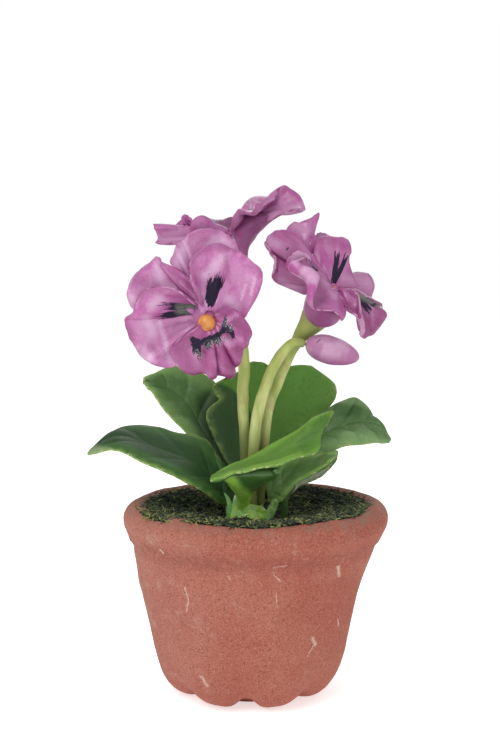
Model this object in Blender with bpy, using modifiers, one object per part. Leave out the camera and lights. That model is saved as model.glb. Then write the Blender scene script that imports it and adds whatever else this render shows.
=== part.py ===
"""Miniature pansy in a clay pot, at doll's house scale: a turned pot with a pinched foot, a plug of soil,
a crown with seven leaves round it, three blooms and a bud on their stems.

Units are metres and +Z is up. The pot stands on z = 0 with its axis through x = y = 0, and the plant faces
-Y. Outlines of hand-shaped pieces are lists of points in millimetres, in that same frame.
"""

import math

import bmesh
import bpy
from mathutils import Matrix, Vector

MM = 0.001
GAP = 0.3
SOCKET_GAP = 0.24
WELD = 1e-6

# Pot, in millimetres: radius and height pairs up the outside, over the rolled rim and down the inside
POT_OUTSIDE = [(4.6, 0.0), (6.0, 0.0), (7.15, 0.4), (8.05, 1.2), (8.8, 2.5), (9.4, 4.5), (9.95, 7.0),
               (10.6, 10.0), (11.2, 12.5), (11.7, 14.0), (12.2, 15.0)]
RIM_CENTRE = (11.4, 16.85)
RIM_ROLL = 1.45
RIM_DEGREES = range(-30, 211, 30)
POT_INSIDE = [(9.8, 15.2), (9.0, 10.0), (8.0, 5.0), (6.8, 2.9), (5.6, 2.0)]
POT_FLOOR = 1.6
POT_SEGMENTS = 48

# Foot: eight toes, the first notch's direction, how deep, high and sharp a notch is, how far it lifts the
# base's edge and up to which height, and the flat middle of the base
LOBES = 8
NOTCH_ANGLE = math.radians(-93)
NOTCH_DEPTH = 0.95
NOTCH_HEIGHT = 4.2
NOTCH_SHARPNESS = 2.5
NOTCH_RISE = 0.8
NOTCH_RISE_TOP = 1.6
FLAT_RADIUS = 5.0

# The upper pot leans to +X between two heights
RIM_SHIFT = 0.6
RIM_SHIFT_FROM = 10.0
RIM_SHIFT_TO = 17.0

# Soil, in millimetres: it fills the pot and dips a little round the plant
SOIL_RADII = [(0.0, 1.95), (5.4, 2.35), (6.5, 3.15), (7.6, 5.2), (8.6, 10.0), (9.35, 15.2), (9.6, 17.0),
              (9.75, 17.7)]
SOIL_TOP = [(8.6, 17.85), (7.0, 17.6), (5.0, 17.3), (3.0, 17.2), (1.5, 17.2)]
SOIL_MIDDLE = 17.2
SOIL_SEGMENTS = 36
BUMP_HEIGHT = 0.16
BUMPS_ABOVE = 17.1
BUMPS_INSIDE = 9.2
BUMP_WAVES = ((1.9, 0.7), (-0.5, 1.6))

# Crown with the radius, bottom and top of its well, and how deep feet and how high their holes reach
CROWN_CENTRE = (0.15, -2.0)
CROWN_SEGMENTS = 16
CROWN_PROFILE = [(0.95, 15.9), (0.95, 17.45), (1.75, 17.55), (1.8, 18.0), (1.72, 18.7), (1.68, 19.1)]
CROWN_WELL = (1.42, 17.8, 20.0)
FOOT_DEPTH = 16.2
HOLE_TOP = 19.0

# Thickness of leaves and petals, how far from the throat a petal starts, the thickness of the disc that
# joins the petals, and how far the trumpet's end passes the throat
BLADE = 0.62
PETAL = 0.6
CLAW = 0.5
HEART_THICK = 1.1
TRUMPET_PAST = 0.11

# Faces across and along each blade, and steps along each rod
LEAF_GRID = (6, 10)
PETAL_GRID = (14, 4)
LIP_GRID = (16, 4)
STALK_STEPS = 7
STEM_STEPS = 16

# Leaves: the stalk's points with its radius, then the blade's near edge, spine and far edge, base to tip
LEAVES = {
    "leaf_left": {
        "stalk": [(-2.45, -2.6, 17.4, 0.36), (-2.5, -2.65, 18.2, 0.38), (-2.8, -2.85, 19.1, 0.42),
                  (-3.6, -3.1, 20.1, 0.4)],
        "near": [(-2.8, -3.3, 18.8), (-4.2, -5.0, 19.9), (-6.4, -5.9, 21.4), (-9.6, -6.0, 22.9),
                 (-12.8, -4.6, 24.0), (-15.2, -3.1, 23.2)],
        "spine": [(-2.7, -2.8, 18.9), (-3.8, -3.1, 20.2), (-5.7, -3.2, 22.2), (-9.0, -2.9, 23.8),
                  (-12.6, -2.5, 24.9), (-15.4, -2.8, 23.3)],
        "far": [(-2.6, -2.3, 18.9), (-3.1, -0.9, 21.6), (-4.9, -0.1, 24.5), (-8.8, 0.4, 25.5),
                (-12.6, -0.4, 25.6), (-15.3, -2.5, 23.5)],
    },
    "leaf_back_left": {
        "stalk": [(-1.75, 0.15, 17.4, 0.36), (-1.75, 0.15, 18.6, 0.38), (-2.0, 0.5, 19.8, 0.42),
                  (-2.9, 1.5, 21.8, 0.4)],
        "near": [(-2.1, 0.0, 19.2), (-3.9, 0.3, 22.0), (-5.9, 1.0, 24.5), (-8.0, 2.2, 26.4),
                 (-9.6, 3.4, 28.4), (-10.7, 4.4, 29.4)],
        "spine": [(-1.9, 0.4, 19.4), (-3.2, 1.9, 22.4), (-5.1, 3.8, 25.4), (-6.9, 4.9, 27.8),
                  (-8.9, 5.1, 29.2), (-10.8, 4.6, 29.6)],
        "far": [(-1.7, 0.8, 19.4), (-2.0, 2.9, 22.3), (-2.5, 5.0, 25.8), (-3.4, 6.3, 29.3),
                (-7.4, 6.1, 31.1), (-10.8, 4.9, 29.9)],
    },
    "leaf_back": {
        "stalk": [(0.1, 0.75, 17.4, 0.4), (0.1, 0.75, 18.8, 0.42), (0.1, 1.0, 20.0, 0.5),
                  (0.3, 1.9, 22.0, 0.42)],
        "near": [(-0.3, 1.0, 19.6), (-2.2, 1.5, 22.8), (-4.5, 2.8, 26.0), (-3.6, 3.5, 28.1),
                 (-3.1, 4.0, 29.9), (-0.8, 4.9, 31.2)],
        "spine": [(0.1, 1.0, 19.6), (0.4, 2.3, 22.8), (0.9, 3.7, 25.6), (1.6, 4.8, 28.2), (2.0, 5.4, 30.1),
                  (2.4, 5.7, 31.2)],
        "far": [(0.5, 1.0, 19.6), (2.6, 2.2, 22.4), (5.4, 3.8, 25.2), (8.3, 5.0, 27.2), (8.7, 5.6, 29.2),
                (6.4, 6.0, 31.0)],
    },
    "leaf_right": {
        "stalk": [(2.1, -0.2, 17.4, 0.36), (2.1, -0.2, 18.4, 0.38), (2.3, -0.1, 19.5, 0.42),
                  (3.4, 0.4, 21.5, 0.4)],
        "near": [(2.3, -0.4, 19.4), (4.6, -0.8, 21.6), (7.0, -0.9, 22.9), (9.0, -0.6, 23.7),
                 (11.4, 0.5, 23.8), (13.8, 2.6, 23.6)],
        "spine": [(2.2, -0.1, 19.5), (4.1, 0.5, 22.0), (6.6, 1.5, 24.2), (9.2, 2.4, 25.4), (11.8, 3.0, 25.6),
                  (14.0, 3.0, 23.8)],
        "far": [(2.0, 0.2, 19.5), (3.3, 1.2, 22.6), (5.7, 2.5, 25.3), (8.6, 3.9, 27.4), (11.2, 4.6, 27.7),
                (13.9, 3.3, 24.0)],
    },
    "leaf_front": {
        "stalk": [(-0.6, -4.7, 17.4, 0.5), (-0.55, -4.75, 18.4, 0.55), (-0.35, -5.0, 19.6, 0.7),
                  (0.0, -5.5, 21.0, 1.1), (0.3, -6.1, 22.3, 1.7)],
        "near": [(-3.7, -7.3, 21.4), (-1.5, -8.0, 22.5), (0.8, -8.0, 22.95), (2.6, -7.5, 23.1),
                 (4.2, -6.8, 23.5), (5.5, -6.0, 23.9), (6.2, -5.4, 24.3), (6.65, -4.6, 25.0),
                 (6.6, -4.1, 25.6), (7.1, -3.4, 26.5), (7.8, -2.9, 27.2)],
        "spine": [(-3.6, -7.1, 21.6), (-1.7, -6.7, 22.3), (0.2, -6.3, 22.7), (2.8, -5.5, 23.6),
                  (4.7, -4.7, 24.8), (6.4, -4.0, 26.0), (7.9, -2.8, 27.3)],
        "far": [(-3.5, -6.8, 21.7), (-1.7, -5.6, 22.7), (0.1, -4.8, 23.4), (2.2, -4.1, 24.4),
                (4.2, -3.5, 25.6), (6.1, -2.9, 26.8), (7.9, -2.7, 27.3)],
    },
    "leaf_front_right": {
        "stalk": [(2.6, -2.6, 17.4, 0.4), (2.6, -2.7, 18.2, 0.42), (2.7, -3.0, 19.2, 0.42),
                  (3.2, -3.3, 20.4, 0.4)],
        "near": [(2.3, -3.3, 18.8), (3.2, -3.7, 19.0), (4.3, -3.9, 19.9), (5.4, -3.9, 20.7),
                 (7.1, -3.3, 21.7), (8.2, -2.2, 22.6)],
        "spine": [(2.0, -3.3, 19.4), (2.8, -3.4, 20.1), (3.8, -3.4, 21.0), (5.0, -3.2, 21.7),
                  (6.8, -2.6, 22.4), (8.3, -1.8, 22.9)],
        "far": [(1.8, -3.3, 20.0), (2.0, -3.1, 20.8), (2.9, -2.6, 21.7), (4.4, -2.0, 22.5),
                (6.1, -1.6, 23.0), (8.3, -1.3, 23.2)],
    },
    "leaf_back_right": {
        "stalk": [(3.3, -1.2, 17.4, 0.34), (3.3, -1.2, 18.2, 0.34), (3.5, -0.9, 19.0, 0.36),
                  (4.2, 0.3, 19.9, 0.36)],
        "near": [(3.4, -1.4, 18.8), (4.1, -0.6, 19.2), (5.1, 0.5, 19.8), (6.4, 1.1, 20.45),
                 (7.4, 1.6, 21.05), (8.5, 2.4, 21.9)],
        "spine": [(3.3, -1.1, 19.0), (3.9, 0.5, 19.8), (4.9, 1.8, 20.5), (6.1, 2.7, 21.2), (7.4, 3.2, 21.8),
                  (8.8, 3.4, 22.3)],
        "far": [(3.2, -0.8, 19.1), (3.6, 1.2, 20.2), (4.7, 2.9, 21.2), (6.0, 4.0, 22.0), (7.6, 4.3, 22.5),
                (8.9, 3.9, 22.6)],
    },
}

# Stems: x, y, z and radius up each one, and a calyx where the last radius is the widest
STEMS = {
    "stem_front": [(-0.55, -2.05, 18.05, 0.36), (-0.5, -1.95, 20.5, 0.4), (-0.5, -1.85, 23.2, 0.45),
                   (-0.7, -1.8, 28.4, 0.52), (-0.55, -1.9, 31.5, 0.56), (-0.8, -1.6, 33.6, 0.52),
                   (-2.0, -1.2, 35.2, 0.5), (-3.3, -1.7, 35.9, 0.6), (-3.85, -2.85, 35.95, 0.95)],
    "stem_back": [(-0.05, -1.2, 18.05, 0.36), (-0.3, -0.8, 20.5, 0.38), (-0.45, -0.5, 23.0, 0.4),
                  (-0.6, 0.0, 28.2, 0.46), (-0.7, 0.5, 32.5, 0.5), (-1.0, 1.4, 36.0, 0.48),
                  (-0.9, 2.3, 38.6, 0.46), (-0.5, 3.1, 40.8, 0.48), (-0.34, 3.75, 42.55, 0.64)],
    "stem_right": [(0.95, -1.85, 18.05, 0.38), (1.15, -1.7, 20.5, 0.4), (1.3, -1.45, 23.0, 0.43),
                   (1.75, -1.0, 27.3, 0.47), (2.9, -0.4, 30.3, 0.48), (4.0, 0.3, 33.0, 0.5),
                   (4.8, 0.65, 34.7, 0.62), (6.3, 0.55, 36.78, 1.2)],
    "stem_bud": [(0.25, -2.75, 18.05, 0.4), (0.25, -2.8, 20.5, 0.46), (0.3, -2.8, 23.5, 0.52),
                 (0.8, -2.5, 27.4, 0.55), (1.8, -2.1, 30.6, 0.55), (2.9, -1.7, 32.6, 0.52),
                 (4.0, -1.2, 33.7, 0.45), (5.0, -0.75, 33.75, 0.4)],
}

# Blooms: throat and facing, the radius of the disc that joins the petals, the length and end radii of the
# trumpet behind it, each petal's rim from side to side, and the eye
BLOOMS = {
    "front": {
        "throat": (-3.7, -5.2, 36.4), "facing": (0.05, -0.97, 0.22), "heart": 1.8,
        "trumpet": 2.1, "flare": (0.85, 1.35),
        "petals": {
            "back_top": [(-5.5, -4.6, 39.7), (-7.3, -4.2, 41.1), (-6.9, -4.2, 42.4), (-5.9, -4.0, 43.9),
                         (-4.6, -3.8, 44.4), (-3.2, -3.8, 44.4), (-1.9, -4.0, 43.8), (-1.1, -4.2, 42.6),
                         (-0.9, -4.6, 40.1)],
            "upper_right": [(-4.7, -5.6, 37.9), (-5.4, -5.8, 40.0), (-5.4, -5.6, 41.4), (-4.2, -5.2, 42.7),
                            (-2.6, -5.0, 42.9), (-1.3, -5.3, 42.5), (-0.1, -5.6, 41.7), (1.0, -5.8, 40.7),
                            (1.1, -5.8, 39.6), (0.7, -5.6, 38.2), (-0.4, -5.2, 36.2)],
            "upper_left": [(-4.9, -5.4, 38.2), (-5.7, -5.2, 40.3), (-7.1, -5.4, 41.2), (-8.5, -5.2, 41.6),
                           (-9.5, -5.0, 41.1), (-10.4, -5.0, 40.3), (-11.1, -5.2, 39.3), (-11.2, -5.6, 38.3),
                           (-10.5, -5.6, 36.8), (-8.2, -5.3, 35.8)],
            "lower_left": [(-5.4, -6.2, 37.7), (-6.8, -6.3, 38.8), (-8.7, -6.2, 39.0), (-9.9, -6.0, 38.5),
                           (-10.5, -6.2, 36.8), (-11.3, -6.6, 36.1), (-11.2, -6.4, 35.2),
                           (-10.8, -6.0, 34.0), (-10.1, -5.8, 32.8), (-8.8, -5.8, 31.9), (-6.8, -5.6, 31.8),
                           (-5.3, -5.5, 33.8)],
        },
        "lip_throat": (-3.6, -6.4, 36.0),
        "lip": [(-4.8, -6.7, 35.5), (-6.0, -7.0, 34.6), (-7.0, -7.2, 33.6), (-6.8, -7.0, 32.6),
                (-6.1, -6.8, 31.4), (-4.8, -6.8, 31.0), (-3.6, -6.9, 31.2), (-2.9, -6.6, 30.8),
                (-1.4, -6.6, 31.1), (-0.9, -6.7, 32.7), (-0.2, -6.6, 33.8), (0.2, -6.4, 34.9),
                (-0.5, -6.3, 36.2), (-1.7, -6.3, 37.2), (-2.8, -6.3, 37.1)],
        "eye": (-3.9, -6.7, 35.8, 0.8),
    },
    "back": {
        "throat": (0.2, 4.9, 46.2), "facing": (0.15, 0.3, 0.94), "heart": 1.5,
        "trumpet": 3.6, "flare": (0.65, 1.4),
        "petals": {
            "left": [(-3.0, 6.4, 46.0), (-5.0, 7.2, 46.0), (-6.7, 6.4, 46.5), (-8.0, 5.6, 45.2),
                     (-9.5, 5.0, 45.3), (-9.6, 4.2, 44.3), (-9.0, 3.7, 43.6), (-7.2, 3.6, 43.4),
                     (-4.5, 3.6, 43.9)],
            "front_left": [(-4.6, 3.4, 44.6), (-5.6, 2.2, 44.7), (-5.6, 1.8, 45.7), (-4.9, 1.6, 46.2),
                           (-4.1, 2.0, 45.8), (-2.5, 2.4, 45.0), (-1.8, 2.8, 44.5)],
            "right": [(-0.9, 1.9, 45.8), (0.4, 1.4, 46.1), (1.5, 2.2, 46.8), (2.6, 4.6, 48.5),
                      (3.5, 5.4, 49.3), (4.4, 5.2, 48.8), (5.2, 4.8, 48.0), (5.4, 4.0, 46.7),
                      (4.0, 3.1, 46.4), (2.4, 2.8, 45.4)],
            "dome": [(-1.6, 6.6, 46.3), (-1.5, 8.4, 47.1), (-0.6, 9.8, 48.0), (0.7, 10.3, 48.5),
                     (1.8, 9.8, 48.3), (2.6, 8.4, 47.9), (2.4, 6.6, 47.4)],
        },
        "lip_throat": (0.4, 7.0, 45.8),
        "lip": [(-1.4, 7.4, 45.9), (-1.9, 8.8, 46.3), (-1.9, 10.6, 47.0), (-1.3, 12.2, 47.5),
                (0.4, 12.9, 47.6), (1.3, 12.6, 47.6), (2.1, 11.6, 47.5), (2.6, 9.8, 46.9),
                (2.4, 8.2, 46.2)],
        "eye": (0.35, 5.2, 46.75, 0.45),
    },
    "right": {
        "throat": (8.0, 0.2, 38.9), "facing": (0.62, -0.14, 0.77), "heart": 1.35,
        "trumpet": 2.4, "flare": (1.0, 1.25),
        "petals": {
            "left": [(5.4, 0.2, 38.3), (3.7, 0.2, 38.9), (2.2, -0.1, 39.8), (2.3, -0.6, 41.4),
                     (1.2, -0.8, 43.1), (2.4, 0.4, 44.5), (4.0, 1.0, 44.5), (5.2, 1.3, 42.8)],
            "top": [(4.4, 1.8, 42.9), (3.7, 2.0, 44.7), (4.4, 2.4, 45.4), (5.7, 2.8, 45.7), (6.7, 3.0, 46.2),
                    (6.5, 2.8, 44.6), (6.8, 2.6, 43.5)],
            "upper_right": [(6.2, 1.4, 42.1), (6.6, 2.0, 43.3), (7.2, 2.4, 44.0), (9.1, 2.3, 44.0),
                            (9.8, 1.8, 42.8), (9.6, 1.4, 41.7), (10.0, 1.5, 40.3), (10.2, 1.6, 39.1)],
            "back": [(8.9, 3.0, 42.0), (10.3, 3.4, 40.6), (11.4, 3.8, 40.5), (12.2, 4.0, 39.7),
                     (12.3, 3.6, 38.7), (11.6, 3.4, 37.8)],
            "front": [(5.6, -0.4, 41.5), (4.4, -2.2, 41.4), (3.5, -2.8, 40.9), (4.6, -3.6, 39.7),
                      (5.2, -3.8, 38.6), (5.3, -3.8, 37.4), (6.3, -3.8, 36.9), (7.4, -3.6, 36.9),
                      (8.4, -3.2, 36.3), (8.8, -2.6, 37.1), (8.3, -1.7, 38.2)],
        },
        "lip_throat": (9.35, -0.2, 37.75),
        "lip": [(9.4, -0.1, 38.9), (10.4, 0.2, 38.6), (12.0, 1.3, 38.0), (12.9, 1.2, 37.4),
                (13.1, 0.6, 36.2), (12.2, -0.4, 34.5), (10.9, -1.0, 34.1), (10.5, -1.3, 35.5),
                (9.9, -1.2, 36.5), (9.2, -0.9, 36.8)],
        "eye": (8.35, 0.05, 39.35, 0.4),
    },
}

BUD_START = (5.35, -0.6, 33.7)
BUD_END = (10.4, -1.4, 32.3)
BUD_RADIUS = 1.35
BUD_TAPER = 0.16
BUD_SEGMENTS = (12, 10)


def clear_scene():
    for obj in list(bpy.data.objects):
        bpy.data.objects.remove(obj, do_unlink=True)


def new_collection(name):
    collection = bpy.data.collections.new(name)
    bpy.context.scene.collection.children.link(collection)
    return collection


def clay(name, colour, roughness):
    """A plain Principled material for modelling clay or fired clay."""
    material = bpy.data.materials.new(name)
    material.use_nodes = True
    shader = material.node_tree.nodes["Principled BSDF"]
    shader.inputs["Base Color"].default_value = (*colour, 1.0)
    shader.inputs["Roughness"].default_value = roughness
    shader.inputs["Metallic"].default_value = 0.0
    return material


def curve_point(points, t):
    """The point at t, 0 to 1, of the smooth curve through the points."""
    last = len(points) - 1
    place = min(max(t, 0.0), 1.0) * last
    i = min(int(place), last - 1)
    f = place - i
    a, b = points[i], points[i + 1]
    before = points[i - 1] if i > 0 else a * 2 - b
    after = points[i + 2] if i + 2 <= last else b * 2 - a
    return 0.5 * (2 * a + (b - before) * f + (2 * before - 5 * a + 4 * b - after) * f * f
                  + (3 * a - before - 3 * b + after) * f ** 3)


def in_metres(points):
    return [Vector(point) * MM for point in points]


def object_from(mesh, name, collection, material=None):
    """Puts a bmesh into a new smooth-shaded object."""
    data = bpy.data.meshes.new(name)
    mesh.to_mesh(data)
    mesh.free()
    data.shade_smooth()
    if material:
        data.materials.append(material)
    obj = bpy.data.objects.new(name, data)
    collection.objects.link(obj)
    return obj


def baked(obj):
    """Applies the object's modifiers, or turns a curve into a mesh with its caps welded on."""
    graph = bpy.context.evaluated_depsgraph_get()
    data = bpy.data.meshes.new_from_object(obj.evaluated_get(graph))
    if obj.type == "MESH":
        obj.modifiers.clear()
        obj.data = data
        return obj
    mesh = bmesh.new()
    mesh.from_mesh(data)
    bmesh.ops.remove_doubles(mesh, verts=mesh.verts, dist=WELD)
    bmesh.ops.recalc_face_normals(mesh, faces=mesh.faces)
    mesh.to_mesh(data)
    mesh.free()
    solid = bpy.data.objects.new(obj.name, data)
    solid.matrix_world = obj.matrix_world
    obj.users_collection[0].objects.link(solid)
    bpy.data.objects.remove(obj, do_unlink=True)
    return solid


def fused(name, pieces, collection, material):
    """Joins overlapping pieces into one body by a Boolean union, and removes them."""
    spare = new_collection(name + "_pieces")
    for piece in pieces:
        for owner in piece.users_collection:
            owner.objects.unlink(piece)
        spare.objects.link(piece)
    body = pieces[0]
    spare.objects.unlink(body)
    collection.objects.link(body)
    union = body.modifiers.new("Union", "BOOLEAN")
    union.operation = "UNION"
    union.operand_type = "COLLECTION"
    union.collection = spare
    union.solver = "MANIFOLD"
    body = baked(body)
    for piece in pieces[1:]:
        bpy.data.objects.remove(piece, do_unlink=True)
    bpy.data.collections.remove(spare)
    body.name = name
    body.data.materials.clear()
    body.data.materials.append(material)
    body.data.shade_smooth()
    return body


def cut(body, cutters):
    """Cuts the cutters' shapes out of the body."""
    for cutter in cutters:
        cutter.hide_render = True
        cutter.display_type = "WIRE"
        difference = body.modifiers.new("Cut " + cutter.name, "BOOLEAN")
        difference.operation = "DIFFERENCE"
        difference.object = cutter
        difference.solver = "MANIFOLD"


def sheet(name, grid, place, thickness, collection):
    """A thick blade: a grid whose point (u, v), each 0 to 1, lies at place(u, v), split into triangles."""
    mesh = bmesh.new()
    bmesh.ops.create_grid(mesh, x_segments=grid[0], y_segments=grid[1], size=1)
    for vertex in mesh.verts:
        vertex.co = place((vertex.co.x + 1) / 2, (vertex.co.y + 1) / 2)
    bmesh.ops.triangulate(mesh, faces=mesh.faces)
    bmesh.ops.recalc_face_normals(mesh, faces=mesh.faces)
    blade = object_from(mesh, name, collection)
    wall = blade.modifiers.new("Thickness", "SOLIDIFY")
    wall.thickness = thickness * MM
    wall.offset = 0
    return baked(blade)


def tube(name, points, collection, steps):
    """A round rod through points (x, y, z, radius) in millimetres, with flat ends."""
    data = bpy.data.curves.new(name, "CURVE")
    data.dimensions = "3D"
    data.bevel_depth = MM
    data.bevel_resolution = 2
    data.use_fill_caps = True
    spline = data.splines.new("POLY")
    spline.points.add(steps)
    for i, point in enumerate(spline.points):
        x, y, z, radius = curve_point([Vector(p) for p in points], i / steps)
        point.co = (x * MM, y * MM, z * MM, 1)
        point.radius = radius
    obj = bpy.data.objects.new(name, data)
    collection.objects.link(obj)
    return baked(obj)


def cone(name, start, end, radii, collection, sides=12):
    """A solid cone frustum from start to end, points in metres, with radii in millimetres."""
    mesh = bmesh.new()
    way = end - start
    bmesh.ops.create_cone(mesh, cap_ends=True, segments=sides, radius1=radii[0] * MM, radius2=radii[1] * MM,
                          depth=way.length)
    turn = way.to_track_quat("Z", "Y").to_matrix().to_4x4()
    bmesh.ops.transform(mesh, matrix=Matrix.Translation((start + end) / 2) @ turn, verts=mesh.verts)
    return object_from(mesh, name, collection)


def ball(name, centre, radius, collection, material=None, rings=8):
    mesh = bmesh.new()
    bmesh.ops.create_uvsphere(mesh, u_segments=rings + 4, v_segments=rings, radius=radius * MM)
    bmesh.ops.translate(mesh, vec=Vector(centre) * MM, verts=mesh.verts)
    return object_from(mesh, name, collection, material)


def turned(profile, segments):
    """A closed solid turned about Z from a profile of (radius, height) in millimetres that starts and ends
    on the axis and runs from the foot outwards and up."""
    mesh = bmesh.new()
    verts = [mesh.verts.new((radius * MM, 0, height * MM)) for radius, height in profile]
    edges = [mesh.edges.new(pair) for pair in zip(verts, verts[1:])]
    bmesh.ops.spin(mesh, geom=verts + edges, cent=(0, 0, 0), axis=(0, 0, 1), dvec=(0, 0, 0), angle=math.tau,
                   steps=segments, use_merge=True)
    bmesh.ops.remove_doubles(mesh, verts=mesh.verts, dist=WELD)
    bmesh.ops.recalc_face_normals(mesh, faces=mesh.faces)
    return mesh


def smooth_step(low, high, value):
    t = min(max((value - low) / (high - low), 0.0), 1.0)
    return t * t * (3 - 2 * t)


def rim_shift(height):
    """How far the hand-pressed rim leans to +X at a height, all in millimetres."""
    return RIM_SHIFT * smooth_step(RIM_SHIFT_FROM, RIM_SHIFT_TO, height)


def pinch_foot(mesh):
    """Presses a notch between each pair of toes round the foot, deepest at the base, outside only."""
    inside = {round(height, 2) for _, height in POT_INSIDE}
    for vertex in mesh.verts:
        height = vertex.co.z / MM
        radius = vertex.co.xy.length / MM
        if radius < FLAT_RADIUS or height > NOTCH_HEIGHT or round(height, 2) in inside:
            continue
        angle = math.atan2(vertex.co.y, vertex.co.x) - NOTCH_ANGLE
        notch = (0.5 + 0.5 * math.cos(LOBES * angle)) ** NOTCH_SHARPNESS
        fade = 1 - smooth_step(0.0, NOTCH_HEIGHT, height)
        vertex.co.xy *= 1 - notch * fade * NOTCH_DEPTH / radius
        vertex.co.z += notch * NOTCH_RISE * MM * (1 - smooth_step(0.0, NOTCH_RISE_TOP, height))


def build_pot(parts):
    roll = []
    for degrees in RIM_DEGREES:
        angle = math.radians(degrees)
        roll.append((RIM_CENTRE[0] + RIM_ROLL * math.cos(angle), RIM_CENTRE[1] + RIM_ROLL * math.sin(angle)))
    profile = [(0.0, 0.0)] + POT_OUTSIDE + roll + POT_INSIDE + [(0.0, POT_FLOOR)]
    mesh = turned(profile, POT_SEGMENTS)
    pinch_foot(mesh)
    for vertex in mesh.verts:
        vertex.co.x += rim_shift(vertex.co.z / MM) * MM
    object_from(mesh, "pot", parts, clay("terracotta", (0.43, 0.15, 0.1), 0.9))


def build_soil(parts, cutters):
    profile = SOIL_RADII + SOIL_TOP + [(0.0, SOIL_MIDDLE)]
    mesh = turned(profile, SOIL_SEGMENTS)
    for vertex in mesh.verts:
        x, y, height = vertex.co / MM
        if height > BUMPS_ABOVE and vertex.co.xy.length < BUMPS_INSIDE * MM:
            first, second = (wave_x * x + wave_y * y for wave_x, wave_y in BUMP_WAVES)
            vertex.co.z += BUMP_HEIGHT * MM * math.sin(first) * math.cos(second)
        vertex.co.x += rim_shift(height) * MM
    soil = object_from(mesh, "soil", parts, clay("moss", (0.05, 0.06, 0.03), 0.95))
    holes = [(CROWN_CENTRE[0], CROWN_CENTRE[1], CROWN_PROFILE[0][0])]
    holes += [(leaf["stalk"][0][0], leaf["stalk"][0][1], leaf["stalk"][0][3]) for leaf in LEAVES.values()]
    for number, (x, y, radius) in enumerate(holes):
        low = Vector((x, y, FOOT_DEPTH - 2 * GAP)) * MM
        high = Vector((x, y, HOLE_TOP)) * MM
        reach = radius + GAP
        cut(soil, [cone("soil_hole_%d" % number, low, high, (reach, reach), cutters)])


def build_crown(parts, cutters):
    profile = [(0.0, CROWN_PROFILE[0][1])] + CROWN_PROFILE + [(0.0, CROWN_PROFILE[-1][1])]
    mesh = turned(profile, CROWN_SEGMENTS)
    centre = Vector((*CROWN_CENTRE, 0)) * MM
    bmesh.ops.translate(mesh, vec=centre, verts=mesh.verts)
    crown = object_from(mesh, "crown", parts, clay("crown_green", (0.22, 0.42, 0.06), 0.35))
    radius, bottom, top = CROWN_WELL
    well = cone("crown_well", centre + Vector((0, 0, bottom)) * MM, centre + Vector((0, 0, top)) * MM,
                (radius, radius), cutters, CROWN_SEGMENTS)
    cut(crown, [well])


def build_leaves(parts, work):
    green = clay("leaf_green", (0.08, 0.24, 0.04), 0.4)
    for name, leaf in LEAVES.items():
        near, spine, far = (in_metres(leaf[rail]) for rail in ("near", "spine", "far"))

        def place(u, v, near=near, spine=spine, far=far):
            return curve_point([curve_point(rail, v) for rail in (near, spine, far)], u)

        blade = sheet(name + "_blade", LEAF_GRID, place, BLADE, work)
        foot = leaf["stalk"][0]
        rod = [(foot[0], foot[1], FOOT_DEPTH, foot[3])] + leaf["stalk"]
        stalk = tube(name + "_stalk", rod, work, STALK_STEPS)
        fused(name, [blade, stalk], parts, green)


def petal(name, throat, rim, grid, collection):
    """One petal: it fans out from a small flat arc round the throat to its rim, given from side to side."""
    rim = in_metres(rim)
    facing = sum(((a - throat).cross(b - throat) for a, b in zip(rim, rim[1:])), Vector()).normalized()

    def place(u, v):
        end = curve_point(rim, u)
        way = end - throat
        start = throat + (way - facing * way.dot(facing)).normalized() * CLAW * MM
        return start.lerp(end, v)

    return sheet(name, grid, place, PETAL, collection)


def build_blooms(parts, work, cutters):
    pink = clay("petal_pink", (0.5, 0.16, 0.42), 0.45)
    magenta = clay("lip_magenta", (0.4, 0.07, 0.3), 0.45)
    orange = clay("bead_orange", (0.75, 0.28, 0.06), 0.35)
    for name, bloom in BLOOMS.items():
        throat = Vector(bloom["throat"]) * MM
        facing = Vector(bloom["facing"]).normalized()
        end = throat + facing * TRUMPET_PAST * MM
        pieces = [cone("trumpet", throat - facing * bloom["trumpet"] * MM, end, bloom["flare"], work)]
        half, heart = facing * HEART_THICK / 2 * MM, bloom["heart"]
        pieces.append(cone("heart", throat - half, throat + half, (heart, heart), work))
        for side, rim in bloom["petals"].items():
            pieces.append(petal(side, throat, rim, PETAL_GRID, work))
        body = fused("bloom_" + name, pieces, parts, pink)
        lip = petal("lip_" + name, Vector(bloom["lip_throat"]) * MM, bloom["lip"], LIP_GRID, parts)
        lip.data.materials.append(magenta)
        x, y, z, radius = bloom["eye"]
        ball("eye_" + name, (x, y, z), radius, parts, orange)
        socket = ball("eye_socket_" + name, (x, y, z), radius + SOCKET_GAP, cutters)
        cut(body, [socket])
        cut(lip, [socket])


def build_stems(parts):
    stem_green = clay("stem_green", (0.4, 0.45, 0.14), 0.5)
    for name, points in STEMS.items():
        stem = tube(name, points, parts, STEM_STEPS)
        stem.name = name
        stem.data.materials.append(stem_green)
        stem.data.shade_smooth()


def build_bud(parts):
    start, end = Vector(BUD_START) * MM, Vector(BUD_END) * MM
    length = (end - start).length
    mesh = bmesh.new()
    bmesh.ops.create_uvsphere(mesh, u_segments=BUD_SEGMENTS[0], v_segments=BUD_SEGMENTS[1], radius=1)
    for vertex in mesh.verts:
        along = vertex.co.z
        width = BUD_RADIUS * MM * (1 - BUD_TAPER * along)
        vertex.co = Vector((vertex.co.x * width, vertex.co.y * width, along * length / 2))
    turn = (end - start).to_track_quat("Z", "Y").to_matrix().to_4x4()
    bmesh.ops.transform(mesh, matrix=Matrix.Translation((start + end) / 2) @ turn, verts=mesh.verts)
    object_from(mesh, "bud", parts, clay("bud_lilac", (0.58, 0.26, 0.48), 0.4))


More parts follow.
